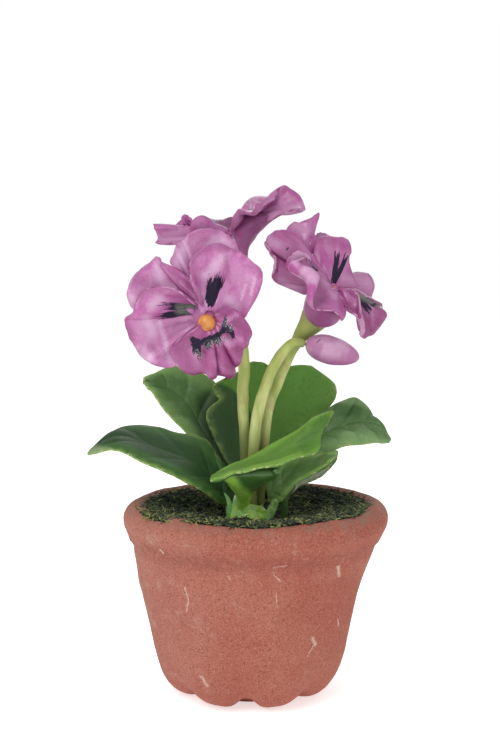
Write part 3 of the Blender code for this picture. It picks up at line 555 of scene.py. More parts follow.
# Each leaf lies on three rails from its stalk to its tip: its near edge, its spine and its far edge. A
# stalk's points are (x, y, z, radius), and a cone's are (x, y, z, half width, half depth). A patch is
# (tone, points (x, z), half width, strength).
LEAVES = {
    "leaf_left": {
        "stalk": [(-1.9, -2.95, 16.6, 0.36), (-1.95, -2.95, 17.6, 0.36), (-2.0, -2.95, 18.4, 0.36),
                  (-2.25, -2.85, 19.0, 0.32), (-2.6, -2.7, 19.6, 0.2)],
        "near": [(-2.4, -3.1, 18.4), (-3.3, -4.3, 19.1), (-4.5, -5.2, 20.2), (-6.4, -5.9, 21.4),
                 (-9.6, -6.0, 22.9), (-12.8, -4.6, 24.0), (-15.2, -3.1, 23.2)],
        "spine": [(-2.25, -2.8, 18.8), (-2.8, -2.8, 20.1), (-4.1, -3.0, 21.4), (-5.9, -3.1, 22.7),
                  (-9.0, -2.9, 23.9), (-12.6, -2.5, 24.9), (-15.4, -2.8, 23.3)],
        "far": [(-2.1, -2.6, 19.1), (-2.35, -1.8, 20.8), (-2.7, -1.2, 22.2), (-3.5, -0.7, 23.3),
                (-4.0, -0.3, 24.2), (-5.4, -0.1, 24.75), (-7.0, 0.0, 24.95), (-9.0, 0.3, 25.45),
                (-11.2, 0.1, 25.65), (-13.2, -0.8, 25.3), (-15.3, -2.5, 23.5)], "veins": 5, "press": 0.08,
        "crinkle": 0.1, "torn": 0.035,
        "tones": [(0.014, 0.052, 0.01), (0.036, 0.105, 0.02)], "dust_and_sheen": 0.0,
        # Pale dust and painted sheen at the tip.
        "patches": [((0.3, 0.38, 0.2), [(-15.3, 23.4), (-14.4, 23.5), (-13.3, 23.5)], 0.9, 0.6)]},
    "leaf_back_left": {
        "stalk": [(-1.75, 0.15, 16.6, 0.36), (-1.75, 0.15, 18.6, 0.38), (-2.0, 0.5, 19.8, 0.42),
                  (-2.9, 1.5, 21.8, 0.4)],
        "near": [(-2.1, 0.0, 19.2), (-3.9, 0.3, 22.0), (-5.9, 1.0, 24.5), (-8.0, 2.2, 26.4),
                 (-9.6, 3.4, 28.4), (-10.7, 4.4, 29.4)],
        "spine": [(-1.9, 0.4, 19.4), (-3.2, 1.9, 22.4), (-5.1, 3.8, 25.4), (-6.9, 4.9, 27.8),
                  (-8.9, 5.1, 29.2), (-10.8, 4.6, 29.6)],
        "far": [(-1.7, 0.8, 19.4), (-2.0, 2.9, 22.3), (-2.5, 5.0, 25.8), (-3.4, 6.3, 29.3),
                (-7.4, 6.1, 31.1), (-10.8, 4.9, 29.9)], "veins": 6, "press": 0.16, "crinkle": 0.12,
        "torn": 0.03,
        "tones": [(0.065, 0.15, 0.04), (0.14, 0.26, 0.075)], "dust_and_sheen": 0.3,
        # Painted shade down the leaf's inner side.
        "patches": [((0.018, 0.05, 0.012), [(-4.2, 27.4), (-3.4, 24.6), (-2.6, 22.0), (-2.0, 20.0)], 1.8,
                     0.8)]},
    "leaf_back": {
        "stalk": [(0.1, 0.75, 16.6, 0.4), (0.1, 0.75, 18.8, 0.42), (0.1, 1.0, 20.0, 0.5),
                  (0.3, 1.9, 22.0, 0.42)],
        "near": [(-0.9, 1.0, 19.8), (-2.7, 1.5, 22.6), (-3.7, 2.3, 24.4), (-4.4, 2.9, 26.2),
                 (-4.1, 3.3, 27.1), (-3.15, 3.6, 27.9), (-3.55, 3.85, 28.5), (-3.8, 4.0, 29.4),
                 (-2.6, 4.3, 30.0)],
        "tip": [(-2.2, 4.4, 29.95), (-1.0, 4.8, 30.6), (0.0, 5.2, 31.45), (1.0, 5.4, 31.55),
                (2.0, 5.5, 31.1), (2.8, 5.6, 30.75), (3.6, 5.7, 30.9), (5.0, 5.9, 31.1), (6.4, 6.0, 31.0)],
        "spine": [(0.1, 1.0, 19.6), (0.4, 2.3, 22.8), (0.9, 3.7, 25.6), (1.6, 4.8, 28.2), (2.0, 5.4, 30.1),
                  (2.4, 5.7, 31.2)],
        "far": [(0.5, 1.0, 19.6), (2.6, 2.2, 22.4), (5.4, 3.8, 25.2), (8.3, 5.0, 27.2), (8.7, 5.6, 29.2),
                (6.4, 6.0, 31.0)], "veins": 5, "press": 0.04, "crinkle": 0.12, "torn": 0.012,
        "tones": [(0.036, 0.09, 0.026), (0.1, 0.26, 0.035)], "dust_and_sheen": 0.08,
        # Painted shade: the left part of this leaf lies in the shade of the blooms.
        "shady": ([(-3.4, 26.6), (-2.2, 25.0), (-1.0, 22.4), (0.5, 20.5)], 3.2)},
    "leaf_right": {
        "stalk": [(2.1, -0.2, 16.6, 0.36), (2.1, -0.2, 18.4, 0.38), (2.3, -0.1, 19.5, 0.42),
                  (3.4, 0.4, 21.5, 0.4)],
        "near": [(2.3, -0.4, 19.4), (4.6, -0.8, 21.6), (7.0, -0.9, 22.9), (9.0, -0.6, 23.7),
                 (11.4, 0.5, 23.8), (13.8, 2.6, 23.6)],
        "spine": [(2.2, -0.1, 19.5), (4.1, 0.5, 22.0), (6.6, 1.5, 24.2), (9.2, 2.4, 25.4),
                  (11.8, 3.0, 25.6), (14.0, 3.0, 23.8)],
        "far": [(2.0, 0.2, 19.5), (3.3, 1.2, 22.6), (5.7, 2.5, 25.3), (8.6, 3.9, 27.4), (11.2, 4.6, 27.7),
                (13.9, 3.3, 24.0)], "veins": 6, "press": 0.24, "crinkle": 0.24, "torn": 0.04,
        "tones": [(0.08, 0.165, 0.05), (0.16, 0.285, 0.105)], "dust_and_sheen": 0.45,
        "patches": [((0.03, 0.085, 0.022), [(6.6, 25.9), (8.6, 26.9), (10.6, 26.7)], 0.9, 0.6),
                    ((0.03, 0.085, 0.022), [(4.6, 22.6), (6.0, 24.2)], 1.2, 0.6)]},
    "leaf_front": {
        "near": [(-3.65, -7.3, 21.5), (-2.3, -7.8, 21.85), (-1.4, -8.0, 22.3), (-0.5, -8.0, 22.45),
                 (0.9, -8.0, 22.8), (2.6, -7.6, 22.95), (4.1, -6.8, 23.45), (5.4, -6.0, 23.65),
                 (6.1, -5.3, 23.75), (6.55, -4.8, 24.4), (6.4, -4.4, 25.3), (7.0, -3.6, 26.3),
                 (7.8, -2.9, 27.2)],
        "spine": [(-3.6, -7.1, 21.6), (-1.7, -6.7, 22.3), (0.2, -6.3, 22.7), (2.8, -5.5, 23.6),
                  (4.7, -4.7, 24.8), (6.4, -4.0, 26.0), (7.9, -2.8, 27.3)],
        "far": [(-3.5, -6.8, 21.7), (-1.7, -5.6, 22.7), (0.1, -4.8, 23.4), (2.2, -4.1, 24.4),
                (4.2, -3.5, 25.6), (6.1, -2.9, 26.8), (7.9, -2.7, 27.3)], "veins": 6, "press": 0.07,
        "crinkle": 0.12, "torn": 0.03,
        "tones": [(0.09, 0.21, 0.024), (0.145, 0.31, 0.035)], "dust_and_sheen": 0.2,
        "patches": [((0.05, 0.14, 0.018), [(5.2, 24.6), (6.3, 25.2), (6.9, 26.2)], 1.2, 0.6)],
        "cone": [(-0.68, -3.1, 17.8, 0.6, 0.5), (-0.68, -3.5, 18.4, 0.62, 0.5),
                 (-0.6, -3.9, 19.0, 0.6, 0.48), (-0.57, -4.4, 19.5, 0.68, 0.48),
                 (-0.55, -4.9, 20.0, 0.86, 0.55), (-0.5, -5.4, 20.5, 1.3, 0.7),
                 (-0.3, -5.9, 21.0, 1.8, 0.9), (-0.05, -6.3, 21.5, 2.25, 1.05),
                 (0.25, -6.6, 22.1, 2.45, 1.1), (0.4, -6.6, 22.6, 2.2, 0.8)], "pellet": (2.4, -7.4, 22.35)},
    "leaf_front_right": {
        "stalk": [(1.75, -3.1, 16.6, 0.4), (1.8, -3.2, 17.4, 0.42), (2.1, -3.4, 18.2, 0.42),
                  (2.5, -3.55, 19.2, 0.38)],
        "near": [(1.7, -3.3, 18.9), (2.8, -3.6, 18.85), (3.6, -3.8, 19.7), (4.5, -3.9, 20.75),
                 (6.5, -3.5, 21.9), (8.2, -2.2, 22.9)],
        "spine": [(1.6, -3.5, 19.7), (2.4, -3.6, 20.2), (3.2, -3.5, 21.0), (4.5, -3.3, 21.7),
                  (6.5, -2.8, 22.3), (8.3, -1.9, 22.9)],
        "far": [(1.5, -3.4, 20.6), (1.8, -3.4, 21.4), (2.6, -3.1, 22.2), (4.2, -2.4, 22.8),
                (6.1, -1.9, 23.2), (8.3, -1.5, 23.3)], "veins": 5, "press": 0.06, "crinkle": 0.1,
        "torn": 0.05,
        "tones": [(0.12, 0.24, 0.06), (0.23, 0.41, 0.1)], "dust_and_sheen": 0.4},
    "leaf_back_right": {
        "stalk": [(3.3, -1.2, 16.6, 0.34), (3.3, -1.2, 18.2, 0.34), (3.5, -0.9, 19.0, 0.36),
                  (4.2, 0.3, 19.9, 0.36)],
        "near": [(3.3, -1.4, 18.7), (3.9, -0.6, 19.0), (4.8, 0.4, 19.6), (6.2, 1.0, 20.15),
                 (7.4, 1.5, 20.8), (8.5, 2.4, 21.9)],
        "spine": [(3.3, -1.1, 19.0), (3.9, 0.5, 19.8), (4.9, 1.8, 20.5), (6.1, 2.7, 21.2),
                  (7.4, 3.2, 21.8), (8.8, 3.4, 22.3)],
        "far": [(3.2, -0.8, 19.1), (3.6, 1.2, 20.2), (4.7, 2.9, 21.2), (6.0, 4.0, 22.0), (7.6, 4.3, 22.5),
                (8.9, 3.9, 22.6)], "veins": 4, "press": 0.08, "crinkle": 0.1, "torn": 0.07,
        "tones": [(0.3, 0.36, 0.2), (0.7, 0.72, 0.6)], "dust_and_sheen": 0.9},
}
LEAF_THICK, LEAF_THIN = 0.5, 0.5
LEAF_ACROSS, LEAF_ALONG = 34, 56
LEAF_FACES = Vector((0, -0.3, 1))
PELLET_SIZES = (0.36, 0.3, 0.34)
SHADED_REAR_STALKS = -2.0
RIM_GREEN, RIM_CRUMBS = (0.2, 0.33, 0.07), (0.55, 0.55, 0.26)
DUST_SHEEN_SOFT, DUST_SHEEN_FINE = (0.34, 0.4, 0.26), (0.4, 0.46, 0.3)
BACK_DARK, BACK_GREEN = (0.035, 0.09, 0.02), (0.085, 0.18, 0.035)
CUT_GREEN, CUT_PALE = (0.13, 0.29, 0.045), (0.5, 0.55, 0.24)
CONE_GREEN, CONE_LIME, CONE_SHADE = (0.26, 0.54, 0.07), (0.38, 0.68, 0.1), (0.018, 0.065, 0.018)


def in_metres(points):
    return [Vector(point) * MM for point in points]


def clay_sheet(name, across, length, place, relief, thick, thin, materials, facing):
    """A rolled sheet of clay: its point (u, v), each 0 to 1, lies at place(u, v) and is raised by
    relief(u, v). Its edge is thinned to a share of its thickness. The materials are those of the face
    that looks along facing, of its back and of its edge."""
    mesh = bmesh.new()
    prints = mesh.loops.layers.uv.new("print")
    bmesh.ops.create_grid(mesh, x_segments=across, y_segments=length, size=1)
    where = {vertex: ((vertex.co.x + 1) / 2, (vertex.co.y + 1) / 2) for vertex in mesh.verts}
    for face in mesh.faces:
        for loop in face.loops:
            loop[prints].uv = where[loop.vert]
    for vertex, (u, v) in where.items():
        vertex.co = place(u, v)
    mesh.normal_update()
    if sum(face.normal.dot(facing) * face.calc_area() for face in mesh.faces) < 0:
        bmesh.ops.reverse_faces(mesh, faces=mesh.faces)
        mesh.normal_update()
    lifts = {vertex: vertex.normal * relief(u, v) * MM for vertex, (u, v) in where.items()}
    for vertex, lift in lifts.items():
        vertex.co += lift
    order = [(min(u, 1 - u), v) for u, v in where.values()]
    sheet = piece_from(mesh, name, materials)
    body = sheet.vertex_groups.new(name="body")
    for i, (side, v) in enumerate(order):
        full = min(smooth_step(0.0, 0.12, side), smooth_step(1.0, 0.9, v), smooth_step(-0.02, 0.05, v))
        body.add([i], full, "REPLACE")
    wall = sheet.modifiers.new("Thickness", "SOLIDIFY")
    wall.thickness = thick * MM
    wall.offset = 0
    wall.vertex_group = "body"
    wall.thickness_vertex_group = thin
    wall.material_offset = 1
    wall.material_offset_rim = 2
    round_off = sheet.modifiers.new("Rounding", "SUBSURF")
    round_off.levels = 1
    round_off.render_levels = 1
    return sheet


def pressed_together(name, pieces):
    """One piece from several that are pressed together while the clay is soft, modifiers applied."""
    mesh = bmesh.new()
    materials = []
    for piece in pieces:
        graph = bpy.context.evaluated_depsgraph_get()
        data = bpy.data.meshes.new_from_object(piece.evaluated_get(graph), preserve_all_data_layers=True,
                                               depsgraph=graph)
        materials += [material for material in piece.data.materials if material not in materials]
        own = [materials.index(material) for material in piece.data.materials]
        for polygon in data.polygons:
            polygon.material_index = own[min(polygon.material_index, len(own) - 1)]
        mesh.from_mesh(data)
    for piece in pieces:
        bpy.data.objects.remove(piece, do_unlink=True)
    return piece_from(mesh, name, materials)


def rolled_rod(name, points, material, steps=30, sides=4, wobble=0.03):
    """A rod rolled under the finger, through points (x, y, z, radius), with round ends."""
    line = thick_line(name, sides)
    through = [Vector(point) for point in points]
    for i, place in enumerate(add_run(line, steps).points):
        x, y, z, radius = along(through, i / steps)
        place.co = (x * MM, y * MM, z * MM, 1)
        place.radius = radius * (0.6 if i in (0, steps) else 1.0)
    mesh = mesh_of(line)
    weld(mesh)
    for vertex in mesh.verts:
        vertex.co += vertex.normal * noise.noise(vertex.co / MM * 0.8) * wobble * MM * 2
    return piece_from(mesh, name, [material])


def stacked(name, rings, material, cuts=30):
    """A stalk or funnel of clay through level rings (x, y, z, half width, half depth)."""
    mesh = bmesh.new()
    bmesh.ops.create_cone(mesh, cap_ends=True, segments=48, radius1=1, radius2=1, depth=1)
    sides = [edge for edge in mesh.edges if edge.verts[0].co.z * edge.verts[1].co.z < 0]
    bmesh.ops.subdivide_edges(mesh, edges=sides, cuts=cuts)
    through = [Vector(ring) for ring in rings]
    for vertex in mesh.verts:
        x, y, z, across, deep = along(through, vertex.co.z + 0.5)
        dent = 1 + 0.09 * noise.noise(Vector((vertex.co.x, vertex.co.y, z)) * 1.3)
        spot = Vector((x + vertex.co.x * across * dent, y + vertex.co.y * deep * dent, z))
        vertex.co = spot * MM
    return piece_from(mesh, name, [material])


def rounded(name, centre, sizes, uneven, material):
    """A ball or egg of clay rolled between the palms, with its half sizes."""
    mesh = bmesh.new()
    bmesh.ops.create_uvsphere(mesh, u_segments=44, v_segments=30, radius=MM)
    for vertex in mesh.verts:
        vertex.co *= 1 + uneven * noise.noise(vertex.co / MM * 1.4)
        vertex.co = Vector([c * size for c, size in zip(vertex.co, sizes)])
    bmesh.ops.translate(mesh, vec=Vector(centre) * MM, verts=mesh.verts)
    return piece_from(mesh, name, [material])


def leaf_top(name, tones, dust_and_sheen, shady=None, patches=()):
    """The upper side of a leaf in its two tones, the first along its middle or in a patch of painted
    shade, with pale dust and painted sheen, and patches of other tones, among them painted shade and sheen."""
    leaf = Finish(name, Specular_IOR_Level=0.3, Subsurface_Weight=0.12, Subsurface_Scale=0.5 * MM)
    u, v = leaf.print_uv()
    off = (u - 0.5).size() * 2
    turn = 1.0 - leaf.stroke(*shady, 0.4, 0.75) if shady else off.between(0.25, 0.95)
    rim = off.between(0.8, 0.99).most(v.between(0.93, 1.0)) * leaf.cloud(0.8, 3).between(0.34, 0.6)
    torn = off.between(0.93, 0.99).most(v.between(0.975, 0.995))
    crumbs = torn * leaf.cloud(0.35, 3, 0.7).between(0.54, 0.62)
    mottle = leaf.cloud(0.35, 3)
    pale = leaf.cloud(0.8, 5, 0.7).between(0.5, 0.75)
    fine = leaf.cloud(0.07)
    colour = leaf.coats(tones[0], (tones[1], (turn + (leaf.cloud(2.4, 3) - 0.5) * 0.9).between(0.1, 0.9)),
                        (RIM_GREEN, rim * 0.6), (RIM_CRUMBS, crumbs * 0.75),
                        (tones[0], mottle.between(0.5, 0.75) * 0.35), (DUST_SHEEN_SOFT, pale * dust_and_sheen * 0.6),
                        (DUST_SHEEN_FINE, fine.between(0.6, 0.8) * dust_and_sheen * 0.3),
                        *[(tone, leaf.stroke(points, width, 0.5, 0.4) * strength)
                          for tone, points, width, strength in patches])
    leaf.lay(colour, 0.34 + 0.25 * mottle, fine * 0.5 + mottle, 0.04)
    return leaf.material


def leaf_back():
    leaf = Finish("leaf_back", Specular_IOR_Level=0.3, Subsurface_Weight=0.12, Subsurface_Scale=0.5 * MM)
    soft = leaf.cloud(1.6, 3)
    colour = leaf.coats(BACK_DARK, (BACK_GREEN, soft.between(0.3, 0.7)))
    leaf.lay(colour, 0.45 + 0.2 * soft, leaf.cloud(0.25, 3), 0.03)
    return leaf.material


def cut_edge():
    edge = Finish("leaf_cut_edge", Specular_IOR_Level=0.3)
    colour = edge.coats(CUT_GREEN, (CUT_PALE, edge.cloud(0.5, 4, 0.65).between(0.48, 0.64)))
    edge.lay(colour, 0.55, edge.cloud(0.15, 3), 0.1)
    return edge.material


def cone_green():
    """The funnel under the front leaf: bright at its left and dark in the leaf's shade."""
    green = Finish("leaf_cone", Specular_IOR_Level=0.4, Subsurface_Weight=0.12, Subsurface_Scale=0.5 * MM,
                   Coat_Weight=0.2, Coat_Roughness=0.15)
    hidden = (green.z * 0.8 + green.x).between(15.5, 16.6)
    colour = green.coats(CONE_GREEN, (CONE_LIME, green.cloud(0.8, 3).between(0.34, 0.64)),
                         (CONE_SHADE, hidden * 0.9))
    green.lay(colour, 0.3, green.cloud(0.4, 3), 0.05)
    return green.material


def leaf_form(number, leaf):
    """Where a leaf's point (u, v) lies, and how far its veins, waves and creases raise it."""
    near, spine, far = (in_metres(leaf[rail]) for rail in ("near", "spine", "far"))
    tip = in_metres(leaf.get("tip", []))
    torn, press = leaf["torn"], leaf["press"]

    def place(u, v):
        rails = [along(rail, v) for rail in (near, spine, far)]
        side = math.copysign(1.0, u - 0.5)
        rough = noise.noise(Vector((v * 14, side * 5, number * 7.0)))
        rough += 0.6 * noise.noise(Vector((v * 45, side * 5, number * 7.0)))
        if 0 < u < 1:
            spot = along(rails, 0.5 + (u - 0.5) * (1 + torn * rough))
        else:
            spot = along(rails, u) + (along(rails, u) - rails[1]) * torn * rough
        return spot.lerp(along(tip, u), smooth_step(0.82, 1.0, v)) if tip else spot

    def relief(u, v):
        off = abs(u - 0.5) * 2
        rib = hump(off, 0.0, 0.05) * (1 - 0.6 * v)
        wave = (v * leaf["veins"] - off * 1.15) % 1.0
        vein = hump(wave, 0.5, 0.09) * smooth_step(0.0, 0.1, off) * (1 - smooth_step(0.75, 1.0, off))
        crumple = noise.noise(Vector((u * 3, v * 5, number * 3.0))) * leaf["crinkle"] * 1.6
        pillow = math.sin(math.pi * ((wave + 0.5) % 1.0)) * press * 0.6 * smooth_step(0.05, 0.3, off)
        return crumple - (rib * 1.3 + vein) * press + pillow * (1 - smooth_step(0.8, 1.0, off))

    return place, relief


def build_leaves():
    """Each blade with its stalk. The stalks in front are glossy, and the right one of them is paler, as
    painted light. The stalks further back take the dark finish of the leaves' backs, as painted shade.
    """
    back, edge, shaded = leaf_back(), cut_edge(), cone_green()
    stalk_green = glossy_green("stalk_green", 0.1, 0.15)
    lit_pale_green = glossy_green("stalk_pale_green", 0.2, 0.8)
    for number, (name, leaf) in enumerate(LEAVES.items()):
        top = leaf_top(name + "_green", leaf["tones"], leaf["dust_and_sheen"], leaf.get("shady"),
                       leaf.get("patches", ()))
        parts = [clay_sheet(name + "_blade", LEAF_ACROSS, LEAF_ALONG, *leaf_form(number, leaf),
                            LEAF_THICK, LEAF_THIN, [top, back, edge], LEAF_FACES)]
        if "cone" in leaf:
            parts.append(stacked(name + "_cone", leaf["cone"], shaded))
            parts.append(rounded(name + "_pellet", leaf["pellet"], PELLET_SIZES, 0.1, shaded))
        else:
            # Painted shade on the stalks behind, and painted light on the paler front right stalk.
            foot_x, foot_y = leaf["stalk"][0][:2]
            front = lit_pale_green if foot_x > 0 else stalk_green
            green = back if foot_y > SHADED_REAR_STALKS else front
            parts.append(rolled_rod(name + "_stalk", leaf["stalk"], green))
        plant_out(pressed_together(name + "_clay", parts), "leaf_green", name)


build_leaves()


# THE STEMS
# Four rods of pale green clay, rolled under the finger and bent while soft. They stand in the crown, and
# each widens a little where its bloom or bud is pressed on. The right one swells into a brownish calyx.
STEMS = {
    "stem_front": [(-0.55, -2.05, 18.0, 0.36), (-0.5, -1.95, 20.5, 0.4), (-0.5, -1.85, 23.2, 0.45),
                   (-0.7, -1.8, 28.4, 0.52), (-0.55, -1.9, 31.5, 0.56), (-0.8, -1.6, 33.6, 0.52),
                   (-2.0, -1.2, 35.2, 0.5), (-3.3, -1.7, 35.9, 0.6), (-3.9, -3.2, 36.0, 0.95)],
    "stem_back": [(-0.05, -1.2, 18.0, 0.36), (-0.3, -0.8, 20.5, 0.38), (-0.45, -0.5, 23.0, 0.4),
                  (-0.6, 0.0, 28.2, 0.46), (-0.7, 0.5, 32.5, 0.5), (-1.0, 1.4, 36.0, 0.48),
                  (-0.95, 2.2, 38.5, 0.46), (-0.75, 3.1, 40.8, 0.44), (-0.7, 3.5, 42.3, 0.5)],
    "stem_right": [(0.95, -1.85, 18.0, 0.38), (1.15, -1.7, 20.5, 0.4), (1.3, -1.45, 23.0, 0.43),
                   (1.75, -1.0, 27.3, 0.47), (2.9, -0.4, 30.3, 0.48), (3.9, 0.3, 32.6, 0.5),
                   (4.75, 0.6, 34.1, 0.68), (5.6, 0.55, 35.2, 1.05), (6.25, 0.45, 36.1, 1.38),
                   (6.5, 0.4, 36.6, 1.3)],
    "stem_bud": [(0.25, -2.75, 18.0, 0.4), (0.25, -2.8, 20.5, 0.46), (0.3, -2.8, 23.5, 0.52),
                 (0.8, -2.5, 27.4, 0.55), (1.8, -2.1, 30.6, 0.55), (2.9, -1.7, 32.6, 0.52),
                 (4.0, -1.2, 33.7, 0.45), (5.2, -0.65, 33.75, 0.42)],
}
STEM_GREEN, STEM_PALE, STEM_UPPER = (0.4, 0.45, 0.13), (0.64, 0.69, 0.28), (0.33, 0.44, 0.08)
STEM_BLUSH, STEM_LOW_SHADE, STEM_LEFT_LOW_SHADE = (0.5, 0.36, 0.22), (0.17, 0.22, 0.045), (0.07, 0.1, 0.03)
CALYX_GREEN, CALYX_BROWN = (0.25, 0.29, 0.08), (0.33, 0.2, 0.1)


def stem_finish():
    stem = Finish("stem_green", Specular_IOR_Level=0.35, Subsurface_Weight=0.12, Subsurface_Scale=0.5 * MM)
    long = stem.node("VectorMath", {"operation": "MULTIPLY"}, {0: stem.spot, 1: (1.0, 1.0, 0.3)})
    shade = stem.cloud(0.9, 3, at=long)
    calyx = stem.x.between(3.8, 5.0)
    # Painted shade: the stems are darker low down, below the leaves, and the left stem darker still.
    low = stem.z.between(27.5, 23.0)
    colour = stem.coats(STEM_GREEN, (STEM_PALE, shade.between(0.32, 0.66)),
                        (STEM_UPPER, stem.z.between(27.0, 33.0) * 0.55),
                        (STEM_BLUSH, stem.cloud(1.3, 3).between(0.55, 0.7) * 0.4),
                        (CALYX_GREEN, calyx * 0.75),
                        (CALYX_BROWN, calyx * stem.z.between(35.2, 36.6) * 0.6), (STEM_LOW_SHADE, low * 0.9),
                        (STEM_LEFT_LOW_SHADE, low * stem.x.between(-0.2, -0.5) * 0.6))
    stem.lay(colour, 0.42 + 0.2 * shade, stem.cloud(0.4, 3, at=long), 0.03)
    return stem.material


def build_stems():
    green = stem_finish()
    for name, points in STEMS.items():
        rod = rolled_rod(name + "_rod", points, green, steps=48, sides=6, wobble=0.035)
        plant_out(rod, "stem_green", name)


build_stems()


# THE BLOOMS
# Each bloom is a few petals of thin pearly pink clay, ruffled with a fingertip and pressed on a short
# funnel, with a darker magenta lip. Dry brush strokes of black and grey paint mark them, and one small
# bead of orange clay is pressed into the throat.
PETAL_THICK, PETAL_THIN = 0.4, 0.45
PETAL_ACROSS, PETAL_LENGTH = 54, 24
CLAW = 0.4
PETAL_ROLL = 0.5
# Along a petal its swell is s * (1 - s) ** 2, which is at most 4 / 27.
FULL_SWELL = 27 / 4
PALE_PINK, PINK, MAGENTA = (0.64, 0.38, 0.57), (0.5, 0.19, 0.4), (0.45, 0.1, 0.32)
LIP_MAGENTA, LIP_DARK, DEEP_MAGENTA = (0.34, 0.066, 0.225), (0.23, 0.036, 0.14), (0.28, 0.05, 0.18)
PETAL_SHADE, PETAL_DARK_SHADE, PETAL_SATIN_SHEEN = (0.2, 0.035, 0.13), (0.08, 0.015, 0.06), (0.85, 0.72, 0.82)
BACK_SHADE, BACK_HIDDEN_SHADE = (0.14, 0.03, 0.1), (0.07, 0.012, 0.05)
EDGE_DARK, EDGE_PALE = (0.22, 0.035, 0.13), (0.52, 0.24, 0.42)
BRUSH_BLACK, BRUSH_GREY, BRUSH_FROST = (0.02, 0.014, 0.034), (0.16, 0.17, 0.15), (0.45, 0.5, 0.47)
BEAD_BROWN, BEAD_ORANGE, BEAD_PINK = (0.5, 0.15, 0.03), (0.62, 0.27, 0.06), (0.55, 0.24, 0.2)

